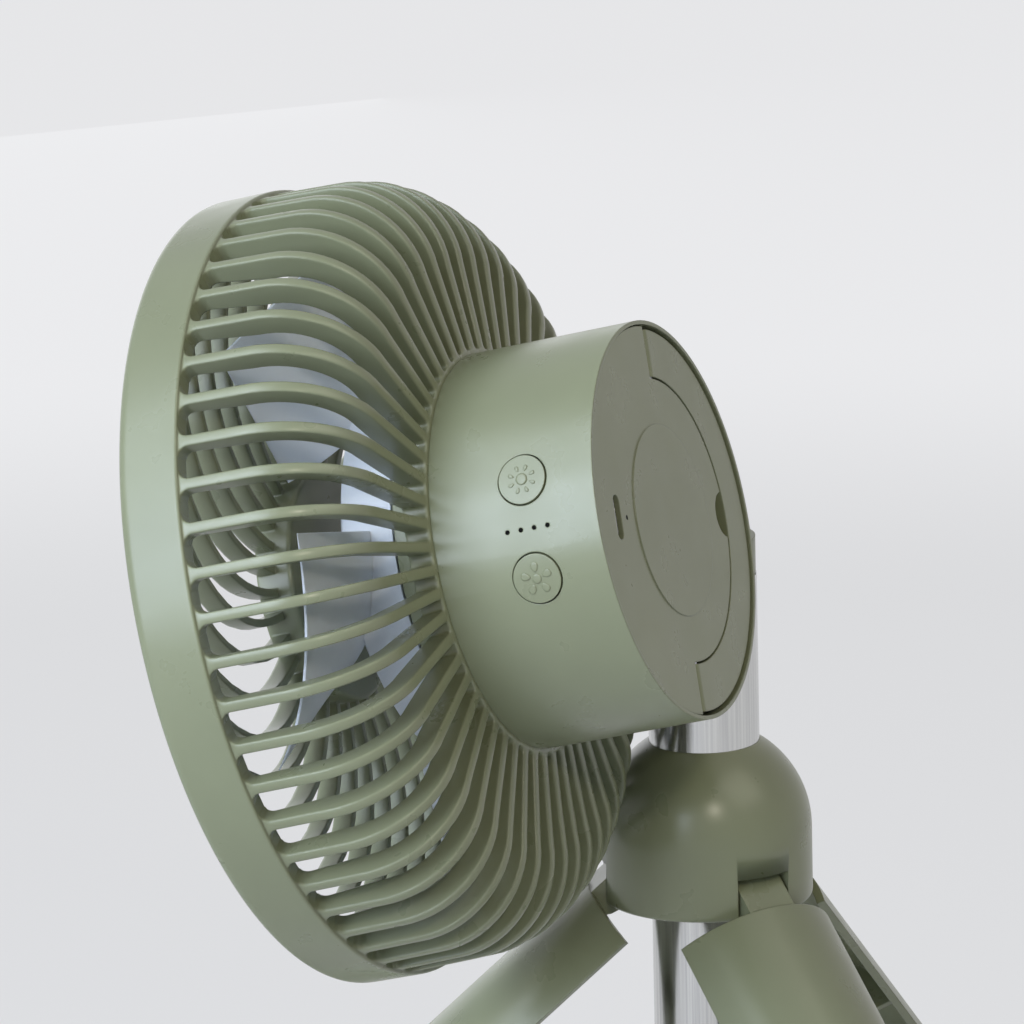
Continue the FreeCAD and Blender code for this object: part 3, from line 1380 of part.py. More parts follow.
def make_lamp():
    face = size.bezel_depth - size.front_inset
    lamp_in = size.lamp_radius - size.lamp_wall
    floor = face - size.lamp_depth + size.lamp_floor
    board = prism("lamp_disc", ROUND_SIDES, lamp_in - size.fit_gap, size.lamp_board_wall,
                  0, -floor - size.lamp_board_wall, 0, Y_AXIS)
    on_head(node(group("lamp_board", [board]), "lamp_board"))
    cover = new_body("lamp_cover")
    seat = floor + size.lamp_board_wall
    outer = lamp_in
    wall = size.lamp_cover_wall
    rise = size.lamp_cover_crown
    revolve(cover, "cover_dome", "XY_Plane", [
        (0, -face - rise),
        (0, wall - face),
        (outer - size.lamp_cover_rim, wall - face),
        (outer - size.lamp_cover_rim, -seat),
        (outer, -seat),
        (outer, -face),
        (outer - rise, -face - rise),
    ])
    on_head(cover)


def write_parts():
    doc.recompute()
    for obj in doc.Objects:
        for state in ("Invalid", "Error"):
            if state in obj.State:
                raise RuntimeError(obj.Name + " is " + state)
    for obj in NODES:
        if obj.Shape.isNull() or not obj.Shape.isValid():
            raise RuntimeError(obj.Label + " has no valid shape")
    os.makedirs("parts", exist_ok=True)
    for obj in NODES:
        obj.Shape.exportStep("parts/" + obj.Label + ".step")
        print(obj.Label, len(obj.Shape.Solids), "solids", round(obj.Shape.Volume), "mm3")


make_hub()
make_hub_cap()
make_hub_screws()
make_hinge_pins()
make_pole()
make_sliding_tubes()
for leg_index in range(int(size.leg_count.value)):
    make_leg(leg_index)
    make_foot(leg_index)
make_neck()
make_tilt_pin()
make_drum()
make_rear_plate()
make_handle()
make_handle_pins()
make_usb_socket()
make_boards()
make_buttons()
make_indicators()
make_battery()
make_motor()
make_rotor()
make_rear_grille()
make_front_grille()
make_lamp()
write_parts()
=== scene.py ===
import json
import math

import bmesh
import bpy
from mathutils import Matrix, Vector


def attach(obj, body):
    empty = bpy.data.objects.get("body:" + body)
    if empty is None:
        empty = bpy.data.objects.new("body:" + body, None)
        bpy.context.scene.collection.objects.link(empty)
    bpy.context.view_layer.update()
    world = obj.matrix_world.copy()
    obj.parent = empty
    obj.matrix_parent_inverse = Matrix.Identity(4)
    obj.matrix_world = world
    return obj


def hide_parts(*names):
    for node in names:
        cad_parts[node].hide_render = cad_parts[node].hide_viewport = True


# Looks of the portable camping fan, in metres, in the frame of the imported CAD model.

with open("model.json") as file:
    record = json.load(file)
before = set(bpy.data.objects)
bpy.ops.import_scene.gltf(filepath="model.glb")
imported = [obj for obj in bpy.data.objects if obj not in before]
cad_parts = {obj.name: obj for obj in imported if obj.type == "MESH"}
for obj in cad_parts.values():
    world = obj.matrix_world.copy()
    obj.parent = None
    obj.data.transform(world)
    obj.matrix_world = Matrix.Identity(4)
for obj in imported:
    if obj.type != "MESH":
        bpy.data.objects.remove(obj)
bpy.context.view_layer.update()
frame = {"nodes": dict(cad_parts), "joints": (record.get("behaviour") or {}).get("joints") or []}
joints = {joint["name"]: joint for joint in frame["joints"]}

# Head frame, from the joints: back points out of the rear plate, out points at the indicator row
SPIN_AHEAD = 0.060
back = Vector(joints["rotor_spin"]["axis"]).normalized()
light_out = -Vector(joints["light_button_press"]["axis"]).normalized()
fan_out = -Vector(joints["fan_button_press"]["axis"]).normalized()
out = (light_out + fan_out).normalized()
up = out.cross(back)
side = Vector(joints["head_tilt"]["axis"]).normalized()
lift = side.cross(back)
rear_centre = Vector(joints["rotor_spin"]["pos_m"]) + back * SPIN_AHEAD
pole = Vector(joints["neck_swivel"]["pos_m"])
hinge_z = joints["leg_one_fold"]["pos_m"][2]

# Sizes that the CAD model has too, in metres. Depths are ahead of the drum's rear rim.
MM = 0.001
PANEL_DEPTH = 16.9 * MM
BUTTON_TOP = 45.85 * MM
DRUM_LENGTH = 39.7 * MM
RIB_COUNT = 56
RIB_WIDTH = 2.6 * MM
RIB_DEEP = 6.0 * MM
RING_IN = 43.2 * MM
RING_OUT = 46.6 * MM
SHOULDER = 66.5 * MM
SHOULDER_ROUND = 23.0 * MM
TURN_DEPTH = 64.5 * MM
SLOT_END = 79.2 * MM
SLOT_END_RADIUS = 90.0 * MM
BEZEL_RADIUS = 90.8 * MM
BEZEL_BORE = 85.5 * MM
BEZEL_FRONT = 94.0 * MM
BEZEL_ROUND = 4.0 * MM
ROTOR_RADIUS = 43.2 * MM
ROTOR_WALL = 2.2 * MM
ROTOR_BACK = 50.2 * MM
ROTOR_SIDE = 12.0 * MM
ROTOR_CROWN = 12.0 * MM
BLADE_COUNT = 5
BLADE_TIP = 79.6 * MM
BLADE_DEPTH = 66.5 * MM
BLADE_ROOT = (34.0 * MM, 16.0 * MM, 11.0 * MM)
BLADE_END = (84.0 * MM, 28.0 * MM, 9.5 * MM)
BLADE_CAMBER = 6.0 * MM
BLADE_THICK = 1.5 * MM
HUB_RADIUS = 25.0 * MM
HUB_SKIRT = 4.0 * MM
HUB_EDGE = 1.2 * MM
HUB_DOME_RISE = 12.5 * MM
HUB_CAP_RADIUS = 21.85 * MM
HUB_CAP_WALL = 2.0 * MM
HUB_SLOT_IN = 14.15 * MM
HUB_SLOT_WIDTH = 14.0 * MM
HUB_SLOT_RISE = 5.9 * MM
POLE_RADIUS = 13.0 * MM
FACE_DEPTH = 92.0 * MM
FRONT_RIB_COUNT = 32
FRONT_RIB_WIDTH = 1.8 * MM
FRONT_RIB_LEAN = math.radians(38)
FRONT_RING_IN = 82.1 * MM
FRONT_RING_DEEP = 5.0 * MM
LAMP_RADIUS = 27.0 * MM
LAMP_WALL = 2.0 * MM
LAMP_DEEP = 9.0 * MM

# Details that the scene adds
FRONT_RIB_DEEP = 5.0 * MM
RIB_SINK = 0.1 * MM
RIB_OVERLAP = 1.5 * MM
RIB_CROWN = 0.8 * MM
RIB_SQUARE = 0.6
RIB_DRAFT = 0.82
RIB_BEVEL = 0.08
RIB_INNER_EDGE = 0.4 * MM
ROOT_START = 0.4 * MM
ROOT_RUN = 0.2 * MM
SLOT_CORNER = 2.2 * MM
SHOULDER_STEPS = 14
RADIAL_STEPS = 14
CHORD_STEPS = 12
BLADE_START = 40 * MM
AXIS_HOLE = 0.2 * MM
SHARP_ANGLE = math.radians(38)


# Node helpers

def srgb(red, green, blue):
    """Screen colour, 0 to 255, as the linear colour that a shader takes."""
    levels = []
    for value in (red, green, blue):
        level = value / 255
        levels.append(level / 12.92 if level <= 0.04045 else ((level + 0.055) / 1.055) ** 2.4)
    return (*levels, 1.0)


class Nodes:
    """A material's node tree with short calls for the nodes used here."""

    def __init__(self, name):
        self.material = bpy.data.materials.new(name)
        self.material.use_nodes = True
        self.tree = self.material.node_tree
        self.shader = self.tree.nodes["Principled BSDF"]
        self.place = self.tree.nodes.new("ShaderNodeTexCoord").outputs["Object"]

    def link(self, source, target):
        self.tree.links.new(source, target)

    def new(self, kind):
        return self.tree.nodes.new(kind)

    def noise(self, size, detail=2.0, stretch=None):
        """Noise whose features are about size metres across."""
        place = self.place
        if stretch is not None:
            mapping = self.new("ShaderNodeMapping")
            mapping.inputs["Scale"].default_value = stretch
            self.link(place, mapping.inputs["Vector"])
            place = mapping.outputs["Vector"]
        node = self.new("ShaderNodeTexNoise")
        node.inputs["Scale"].default_value = 1 / size
        node.inputs["Detail"].default_value = detail
        self.link(place, node.inputs["Vector"])
        return node.outputs["Fac"]

    def spread(self, source, low, high):
        """Maps the middle of a noise to a range."""
        node = self.new("ShaderNodeMapRange")
        node.inputs["From Min"].default_value = 0.3
        node.inputs["From Max"].default_value = 0.7
        node.inputs["To Min"].default_value = low
        node.inputs["To Max"].default_value = high
        self.link(source, node.inputs["Value"])
        return node.outputs["Result"]

    def blend(self, factor, first, second):
        node = self.new("ShaderNodeMix")
        node.data_type = "RGBA"
        node.inputs["A"].default_value = first
        node.inputs["B"].default_value = second
        self.link(factor, node.inputs["Factor"])
        return node.outputs["Result"]

    def bump(self, height, depth, strength, normal=None):
        node = self.new("ShaderNodeBump")
        node.inputs["Strength"].default_value = strength
        node.inputs["Distance"].default_value = depth
        self.link(height, node.inputs["Height"])
        if normal is not None:
            self.link(normal, node.inputs["Normal"])
        return node.outputs["Normal"]

    def rounded(self, radius):
        """Normal that rounds the edges of a moulded piece."""
        node = self.new("ShaderNodeBevel")
        node.samples = 6
        node.inputs["Radius"].default_value = radius
        return node.outputs["Normal"]

    def set(self, name, value):
        self.shader.inputs[name].default_value = value

    def drive(self, name, source):
        self.link(source, self.shader.inputs[name])


def scaled(colour, factor):
    return (colour[0] * factor, colour[1] * factor, colour[2] * factor, 1.0)


def moulded(name, colour, rough, edge, grain=0.00025, grain_depth=0.000012, cloud=0.035, tint=0.05):
    """Moulded plastic: fine spark-eroded grain, slight flow marks in colour and gloss, rounded edges."""
    nodes = Nodes(name)
    clouds = nodes.noise(cloud, 3.0)
    nodes.drive("Base Color", nodes.blend(nodes.spread(clouds, 0, 1), scaled(colour, 1 - tint),
                                          scaled(colour, 1 + tint)))
    nodes.drive("Roughness", nodes.spread(nodes.noise(cloud / 3, 4.0), rough - 0.04, rough + 0.04))
    normal = nodes.rounded(edge)
    nodes.drive("Normal", nodes.bump(nodes.noise(grain, 2.0), grain_depth, 0.5, normal))
    nodes.set("Specular IOR Level", 0.5)
    return nodes


def make_green(name, edge=0.0004):
    return moulded(name, srgb(126, 130, 103), 0.3, edge).material


def make_black(name, colour=srgb(24, 25, 24), rough=0.5):
    return moulded(name, colour, rough, 0.0003, tint=0.15).material


def make_frosted():
    """Frosted translucent white of the rotor."""
    nodes = moulded("frosted_white", srgb(232, 238, 248), 0.42, 0.0004, tint=0.02)
    nodes.set("Transmission Weight", 0.25)
    nodes.set("Subsurface Weight", 0.3)
    nodes.set("Subsurface Radius", (0.004, 0.004, 0.004))
    nodes.set("IOR", 1.45)
    return nodes.material


def make_diffuser():
    nodes = moulded("lamp_diffuser", srgb(240, 241, 236), 0.3, 0.0004, tint=0.02)
    nodes.set("Transmission Weight", 0.4)
    nodes.set("Subsurface Weight", 0.3)
    nodes.set("Subsurface Radius", (0.004, 0.004, 0.004))
    return nodes.material


def make_tube():
    """Drawn and polished tube: long fine streaks along the tube."""
    nodes = Nodes("drawn_tube")
    streaks = nodes.noise(0.0006, 3.0, (1, 1, 0.01))
    nodes.drive("Base Color", nodes.blend(nodes.spread(streaks, 0, 1), srgb(190, 190, 190),
                                          srgb(212, 212, 210)))
    nodes.drive("Roughness", nodes.spread(nodes.noise(0.004, 4.0, (1, 1, 0.2)), 0.16, 0.26))
    nodes.drive("Normal", nodes.bump(streaks, 0.00001, 0.4))
    nodes.set("Metallic", 1.0)
    return nodes.material


def make_metal(name, colour, rough, spread=0.08):
    nodes = Nodes(name)
    marks = nodes.noise(0.002, 5.0)
    nodes.drive("Base Color", nodes.blend(nodes.spread(marks, 0, 1), scaled(colour, 0.9),
                                          scaled(colour, 1.08)))
    nodes.drive("Roughness", nodes.spread(nodes.noise(0.0008, 3.0), rough - spread, rough + spread))
    nodes.drive("Normal", nodes.bump(nodes.noise(0.0004, 2.0), 0.00001, 0.4, nodes.rounded(0.0002)))
    nodes.set("Metallic", 1.0)
    return nodes.material


def make_rubber():
    return moulded("foot_rubber", srgb(38, 39, 38), 0.75, 0.0006, grain=0.0008, grain_depth=0.00004,
                   tint=0.2).material


def make_board(name, colour):
    """Printed board: solder resist over faint copper runs."""
    nodes = moulded(name, colour, 0.35, 0.0001, tint=0.1)
    wave = nodes.new("ShaderNodeTexVoronoi")
    wave.inputs["Scale"].default_value = 250
    nodes.link(nodes.place, wave.inputs["Vector"])
    nodes.drive("Base Color", nodes.blend(nodes.spread(wave.outputs["Distance"], 0, 1), scaled(colour, 0.7),
                                          scaled(colour, 1.5)))
    return nodes.material


def make_lens():
    nodes = moulded("indicator_lens", srgb(7, 7, 6), 0.8, 0.0001, tint=0.2)
    nodes.set("Specular IOR Level", 0.1)
    return nodes.material


def make_sleeve():
    nodes = moulded("cell_sleeve", srgb(60, 96, 140), 0.3, 0.0004, tint=0.05)
    return nodes.material


def paint_nodes():
    green = make_green("satin_green")
    rib_green = make_green("rib_green", edge=0.0007)
    leg_green = make_green("leg_green", edge=0.0005)
    button_green = make_green("button_green", edge=0.0003)
    black = make_black("black_plastic")
    tube = make_tube()
    acetal = make_black("acetal", srgb(214, 214, 208), 0.4)
    rubber = make_rubber()
    steel = make_metal("pin_steel", srgb(170, 171, 173), 0.3)
    dark_steel = make_metal("screw_steel", srgb(60, 60, 62), 0.35)
    zinc = make_metal("zinc_can", srgb(150, 151, 153), 0.4)
    frosted = make_frosted()
    looks = {
        green: ["hub_shell", "hub_bottom_cap", "swivel_neck", "drum_housing", "rear_plate", "carry_handle"],
        rib_green: ["rear_grille", "front_grille"],
        leg_green: ["leg_1", "leg_2", "leg_3"],
        button_green: ["light_button", "fan_button"],
        black: ["tube_end_plug", "switch_carrier", "switches", "battery_cradle"],
        tube: ["outer_tube", "middle_tube", "inner_tube"],
        acetal: ["tilt_washer"],
        rubber: ["foot_1", "foot_2", "foot_3"],
        steel: ["leg_hinge_pins", "swivel_stem", "tilt_pin", "handle_pins", "motor_shaft", "usb_socket"],
        dark_steel: ["hub_screws", "motor_screws"],
        zinc: ["motor_can"],
        frosted: ["fan_rotor"],
        make_diffuser(): ["lamp_cover"],
        make_board("main_resist", srgb(20, 74, 40)): ["main_board"],
        make_board("lamp_resist", srgb(214, 214, 208)): ["lamp_board"],
        make_lens(): ["indicator_lenses"],
        make_sleeve(): ["battery_cells"],
    }
    for material, names in looks.items():
        for name in names:
            data = frame["nodes"][name].data
            data.materials.clear()
            data.materials.append(material)
    return {"button": button_green, "green": green, "rib": rib_green, "frosted": frosted}


# Raised button symbols

def button_point(outward, along, across, height):
    """Point on a button's face: along points back, across is upwards round the drum."""
    up = back.cross(outward).normalized()
    if up.z < 0:
        up = -up
    radius = BUTTON_TOP + height
    angle = across / BUTTON_TOP
    direction = outward * math.cos(angle) + up * math.sin(angle)
    return rear_centre - back * (PANEL_DEPTH - along) + direction * radius


def raised_shape(mesh, outward, outline, height, dip=0.0001):
    """Low raised island with a flat top and a sloped edge."""
    centre_u = sum(p[0] for p in outline) / len(outline)
    centre_v = sum(p[1] for p in outline) / len(outline)
    rings = []
    for shrink, level in ((1.0, -dip), (1.0, height * 0.55), (0.88, height * 0.92), (0.7, height)):
        ring = []
        for u, v in outline:
            place = button_point(outward, centre_u + (u - centre_u) * shrink,
                                 centre_v + (v - centre_v) * shrink, level)
            ring.append(mesh.verts.new(place))
        rings.append(ring)
    count = len(outline)
    for low, high in zip(rings, rings[1:]):
        for i in range(count):
            face = mesh.faces.new((low[i], low[(i + 1) % count], high[(i + 1) % count], high[i]))
            face.smooth = True
    mesh.faces.new(rings[-1]).smooth = True


def disc_outline(u, v, radius, points=20):
    turns = [2 * math.pi * i / points for i in range(points)]
    return [(u + radius * math.cos(t), v + radius * math.sin(t)) for t in turns]


def petal_outline(angle, start, finish, width, points=18):
    """Rounded petal that points away from the middle."""
    middle = (start + finish) / 2
    reach = (finish - start) / 2
    outline = []
    for i in range(points):
        t = 2 * math.pi * i / points
        r = middle + reach * math.cos(t)
        w = width / 2 * math.sin(t) * (1 + 0.35 * math.cos(t))
        outline.append((r * math.cos(angle) - w * math.sin(angle),
                        r * math.sin(angle) + w * math.cos(angle)))
    return outline


def finish_piece(mesh, name, material, body):
    bmesh.ops.recalc_face_normals(mesh, faces=mesh.faces)
    data = bpy.data.meshes.new(name)
    mesh.to_mesh(data)
    mesh.free()
    data.materials.append(material)
    piece = bpy.data.objects.new(name, data)
    bpy.context.collection.objects.link(piece)
    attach(piece, body)
    return piece


def make_symbols(material):
    sun = bmesh.new()
    raised_shape(sun, light_out, disc_outline(0, 0, 0.00135), 0.0003)
    for i in range(8):
        angle = 2 * math.pi * (i + 0.5) / 8
        raised_shape(sun, light_out, petal_outline(angle, 0.0020, 0.0034, 0.0008), 0.0002)
    finish_piece(sun, "light_symbol", material, "light_switch")
    fan = bmesh.new()
    raised_shape(fan, fan_out, disc_outline(0, 0, 0.0011), 0.0002)
    for i in range(5):
        angle = math.pi / 2 + 2 * math.pi * i / 5
        raised_shape(fan, fan_out, petal_outline(angle, 0.0015, 0.0038, 0.0017), 0.0002)
    finish_piece(fan, "fan_symbol", material, "fan_switch")


# Smooth pieces that stand for faceted CAD nodes

def on_head(radius, angle, depth, first=side, second=lift):
    """Point at a radius and an angle round the head axis, at a depth ahead of the rear rim."""
    return rear_centre - back * depth + (first * math.cos(angle) + second * math.sin(angle)) * radius


def on_panel(radius, angle, depth):
    """The same, with the angle measured from the row of indicators."""
    return on_head(radius, angle, depth, out, up)


def on_pole(radius, angle, height):
    return Vector((pole.x + radius * math.cos(angle), pole.y + radius * math.sin(angle), height))


def softened(corners, steps=4):
    """Outline whose corners (x, y, radius) are rounded."""
    outline = []
    count = len(corners)
    for i in range(count):
        x, y, radius = corners[i]
        corner = Vector((x, y))
        before = Vector(corners[i - 1][:2]) - corner
        after = Vector(corners[(i + 1) % count][:2]) - corner
        if radius == 0:
            outline.append((x, y))
            continue
        half = before.angle(after) / 2
        reach = min(radius / math.tan(half), before.length / 2, after.length / 2)
        start = corner + before.normalized() * reach
        finish = corner + after.normalized() * reach
        for k in range(steps + 1):
            t = k / steps
            point = start * (1 - t) ** 2 + corner * 2 * t * (1 - t) + finish * t * t
            outline.append((point.x, point.y))
    return outline


def arc(x, y, radius, start, finish, steps):
    """Points along an arc, angles in degrees, with both ends."""
    angles = [math.radians(start + (finish - start) * i / steps) for i in range(steps + 1)]
    return [(x + radius * math.cos(a), y + radius * math.sin(a)) for a in angles]


def turned(mesh, outline, place, segments=144):
    """Closed outline of (radius, depth), turned right round."""
    rings = []
    for i in range(segments):
        angle = 2 * math.pi * i / segments
        rings.append([mesh.verts.new(place(radius, angle, depth)) for radius, depth in outline])
    for one, other in zip(rings, rings[1:] + rings[:1]):
        for k in range(len(outline)):
            after = (k + 1) % len(outline)
            mesh.faces.new((one[k], one[after], other[after], other[k]))


def swept(mesh, sections):
    """Closed sections joined in order, with flat ends."""
    rings = [[mesh.verts.new(point) for point in section] for section in sections]
    for one, other in zip(rings, rings[1:]):
        for k in range(len(one)):
            after = (k + 1) % len(one)
            mesh.faces.new((one[k], one[after], other[after], other[k]))
    mesh.faces.new(rings[0])
    mesh.faces.new(rings[-1])


def flare(away):
    """Share of a round corner's width at a share of the way out of it."""
    return 1 - math.sqrt(1 - (1 - away) ** 2)


def rib_path():
    """Outer point, inner point and width of a rear rib, from the drum to the front ring."""
    start_depth = TURN_DEPTH - SHOULDER_ROUND
    root_depth = DRUM_LENGTH + RIB_SINK
    root_gap = 2 * math.pi * RING_OUT / RIB_COUNT - RIB_WIDTH
    inside = RING_IN + RIB_OVERLAP
    stations = [(inside, root_depth, inside, DRUM_LENGTH + RIB_DEEP - RIB_SINK, RIB_WIDTH + root_gap)]
    for away in (0, 0.1, 0.3, 0.6, 1.0):
        radius = RING_OUT - ROOT_START + root_gap / 2 * away + away * ROOT_RUN
        lean = (radius - RING_OUT) / (SHOULDER - RING_OUT)
        depth = root_depth + (start_depth - root_depth) * max(lean, 0)
        stations.append((radius, depth, radius, depth + RIB_DEEP, RIB_WIDTH + root_gap * flare(away)))
    outer = arc(SHOULDER, -TURN_DEPTH, SHOULDER_ROUND, 90, 0, SHOULDER_STEPS)
    inner = arc(SHOULDER, -TURN_DEPTH, SHOULDER_ROUND - RIB_DEEP, 90, 0, SHOULDER_STEPS)
    for (x, y), (u, v) in zip(outer, inner):
        stations.append((x, -y, u, -v, RIB_WIDTH))
    low = stations[-1]
    for away in (1.0, 0.7, 0.45, 0.25, 0.1, 0):
        depth = SLOT_END - SLOT_CORNER * away
        share = (depth - low[1]) / (SLOT_END - low[1])
        width = RIB_WIDTH + 2 * SLOT_CORNER * flare(away)
        stations.append((low[0] + (SLOT_END_RADIUS - low[0]) * share, depth,
                         low[2] + (BEZEL_BORE - low[2]) * share, depth, width))
    end = stations[-1]
    under = SLOT_END + RIB_OVERLAP
    stations.append((end[0], under, end[2] + RIB_SINK, under, end[4]))
    return stations


def rib_section(angle, station):
    """Rounded outer edge, drafted sides and a softened inner edge."""
    outer_radius, outer_depth, inner_radius, inner_depth, width = station
    outer = on_panel(outer_radius, angle, outer_depth)
    inner = on_panel(inner_radius, angle, inner_depth)
    across = out * -math.sin(angle) + up * math.cos(angle)
    inwards = (inner - outer).normalized()
    deep = (inner - outer).length
    half = width / 2
    corner = min(half, RIB_WIDTH / 2)
    points = []
    for i in range(7):
        turn = math.pi * i / 6
        reach = half - corner + corner * abs(math.cos(turn)) ** RIB_SQUARE
        shift = math.copysign(reach, -math.cos(turn)) if i != 3 else 0
        points.append(outer + across * shift + inwards * RIB_CROWN * (1 - math.sin(turn) ** RIB_SQUARE))
    inner_half = half * RIB_DRAFT
    bevel = inwards * deep * RIB_BEVEL
    points.append(inner + across * inner_half - bevel)
    points.append(inner + across * (inner_half - RIB_INNER_EDGE))
    points.append(inner - across * (inner_half - RIB_INNER_EDGE))
    points.append(inner - across * inner_half - bevel)
    return points


def add_piece(mesh, name, material, body, slot, *nodes):
    piece = finish_piece(mesh, name, material, body)
    for polygon in piece.data.polygons:
        polygon.use_smooth = True
    piece.data.set_sharp_from_angle(angle=SHARP_ANGLE)
    even = piece.modifiers.new("even_normals", "WEIGHTED_NORMAL")
    even.keep_sharp = True
    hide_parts(*nodes)
    return piece


def make_cage(material):
    mesh = bmesh.new()
    path = rib_path()
    for k in range(RIB_COUNT):
        angle = 2 * math.pi * k / RIB_COUNT
        swept(mesh, [rib_section(angle, station) for station in path])
    turned(mesh, softened([
        (RING_IN, DRUM_LENGTH, 0),
        (RING_OUT, DRUM_LENGTH, 0.7 * MM),
        (RING_OUT, DRUM_LENGTH + RIB_DEEP, 0.5 * MM),
        (RING_IN, DRUM_LENGTH + RIB_DEEP, 0),
    ]), on_panel)
    turned(mesh, softened([
        (BEZEL_BORE, SLOT_END, 0.5 * MM),
        (BEZEL_RADIUS, SLOT_END, 0.7 * MM),
        (BEZEL_RADIUS, BEZEL_FRONT, BEZEL_ROUND),
        (BEZEL_BORE, BEZEL_FRONT, 0.8 * MM),
    ], 8), on_panel, 192)
    add_piece(mesh, "cage", material, "head", "green_plastic", "rear_grille")


def crown_depth(base, radius):
    return base + ROTOR_CROWN * (1 - (radius / ROTOR_RADIUS) ** 2)


def blade_section(radius, thick):
    """Cambered section of a blade on a cylinder round the head axis."""
    back_side = []
    front_side = []
    for i in range(CHORD_STEPS + 1):
        along = 2 * i / CHORD_STEPS - 1
        plane = radius
        for _ in range(3):
            share = (plane - BLADE_ROOT[0]) / (BLADE_END[0] - BLADE_ROOT[0])
            chord = BLADE_ROOT[1] + (BLADE_END[1] - BLADE_ROOT[1]) * share
            plane = math.sqrt(radius ** 2 - (chord * along) ** 2)
        rise = BLADE_ROOT[2] + (BLADE_END[2] - BLADE_ROOT[2]) * share
        length = math.hypot(chord, rise)
        bulge = BLADE_CAMBER * (1 - along * along)
        depth = BLADE_DEPTH - rise * along - bulge * chord / length
        height = chord * along - bulge * rise / length
        half = thick / 2 * math.sqrt(max(1 - along ** 4, 0.02))
        normal = (chord / length, rise / length)
        angle = math.atan2(height, plane)
        for row, sign in ((back_side, -1), (front_side, 1)):
            turn = angle - sign * half * normal[1] / radius
            row.append(on_head(radius, turn, depth - sign * half * normal[0]))
    return back_side + front_side[::-1]


def make_impeller(material):
    mesh = bmesh.new()
    side_end = ROTOR_BACK + ROTOR_SIDE
    outline = [(ROTOR_RADIUS - ROTOR_WALL, ROTOR_BACK), (ROTOR_RADIUS, ROTOR_BACK)]
    radii = [ROTOR_RADIUS * (1 - i / RADIAL_STEPS) for i in range(RADIAL_STEPS)] + [AXIS_HOLE]
    outline += [(radius, crown_depth(side_end, radius)) for radius in radii]
    inner = [radius for radius in radii[::-1] if radius < ROTOR_RADIUS - ROTOR_WALL]
    outline += [(radius, crown_depth(side_end - ROTOR_WALL, radius)) for radius in inner]
    outline.append((ROTOR_RADIUS - ROTOR_WALL, side_end - ROTOR_WALL))
    turned(mesh, outline, on_head)
    for k in range(BLADE_COUNT):
        rotor = Matrix.Rotation(2 * math.pi * k / BLADE_COUNT, 4, back)
        around = Matrix.Translation(rear_centre) @ rotor @ Matrix.Translation(-rear_centre)
        sections = []
        for i in range(RADIAL_STEPS + 1):
            radius = BLADE_START + (BLADE_TIP - BLADE_START) * i / RADIAL_STEPS
            thick = BLADE_THICK * (1 if i < RADIAL_STEPS else 0.4)
            sections.append([around @ point for point in blade_section(radius, thick)])
        swept(mesh, sections)
    add_piece(mesh, "impeller", material, "rotor", "rotor_plastic", "fan_rotor")


def make_front(material):
    """Curved ribs between the lamp cup and an outer ring."""
    mesh = bmesh.new()
    start = LAMP_RADIUS - LAMP_WALL / 2
    finish = (FRONT_RING_IN + BEZEL_BORE) / 2
    for k in range(FRONT_RIB_COUNT):
        sections = []
        for i in range(RADIAL_STEPS + 1):
            share = i / RADIAL_STEPS
            radius = start + (finish - start) * share
            angle = 2 * math.pi * k / FRONT_RIB_COUNT + FRONT_RIB_LEAN * share * share
            middle = on_head(radius, angle, FACE_DEPTH)
            across = side * -math.sin(angle) + lift * math.cos(angle)
            half = FRONT_RIB_WIDTH / 2
            low = back * FRONT_RIB_DEEP
            sections.append([middle - across * half + low, middle - across * half + low * 0.2,
                             middle - across * half * 0.5, middle + across * half * 0.5,
                             middle + across * half + low * 0.2, middle + across * half + low])
        swept(mesh, sections)
    turned(mesh, softened([
        (FRONT_RING_IN, FACE_DEPTH - FRONT_RING_DEEP, 0.4 * MM),
        (FRONT_RING_IN, FACE_DEPTH, 0.6 * MM),
        (BEZEL_BORE, FACE_DEPTH, 0.3 * MM),
        (BEZEL_BORE, FACE_DEPTH - FRONT_RING_DEEP, 0.3 * MM),
    ]), on_head)
    cup_back = FACE_DEPTH - LAMP_DEEP
    inside = LAMP_RADIUS - LAMP_WALL
    turned(mesh, softened([
        (AXIS_HOLE, cup_back, 0),
        (LAMP_RADIUS, cup_back, 1.2 * MM),
        (LAMP_RADIUS, FACE_DEPTH, 0.6 * MM),
        (inside, FACE_DEPTH, 0.3 * MM),
        (inside, cup_back + LAMP_WALL, 0.3 * MM),
        (AXIS_HOLE, cup_back + LAMP_WALL, 0),
    ]), on_head, 96)
    add_piece(mesh, "front_cage", material, "head", "green_plastic", "front_grille")


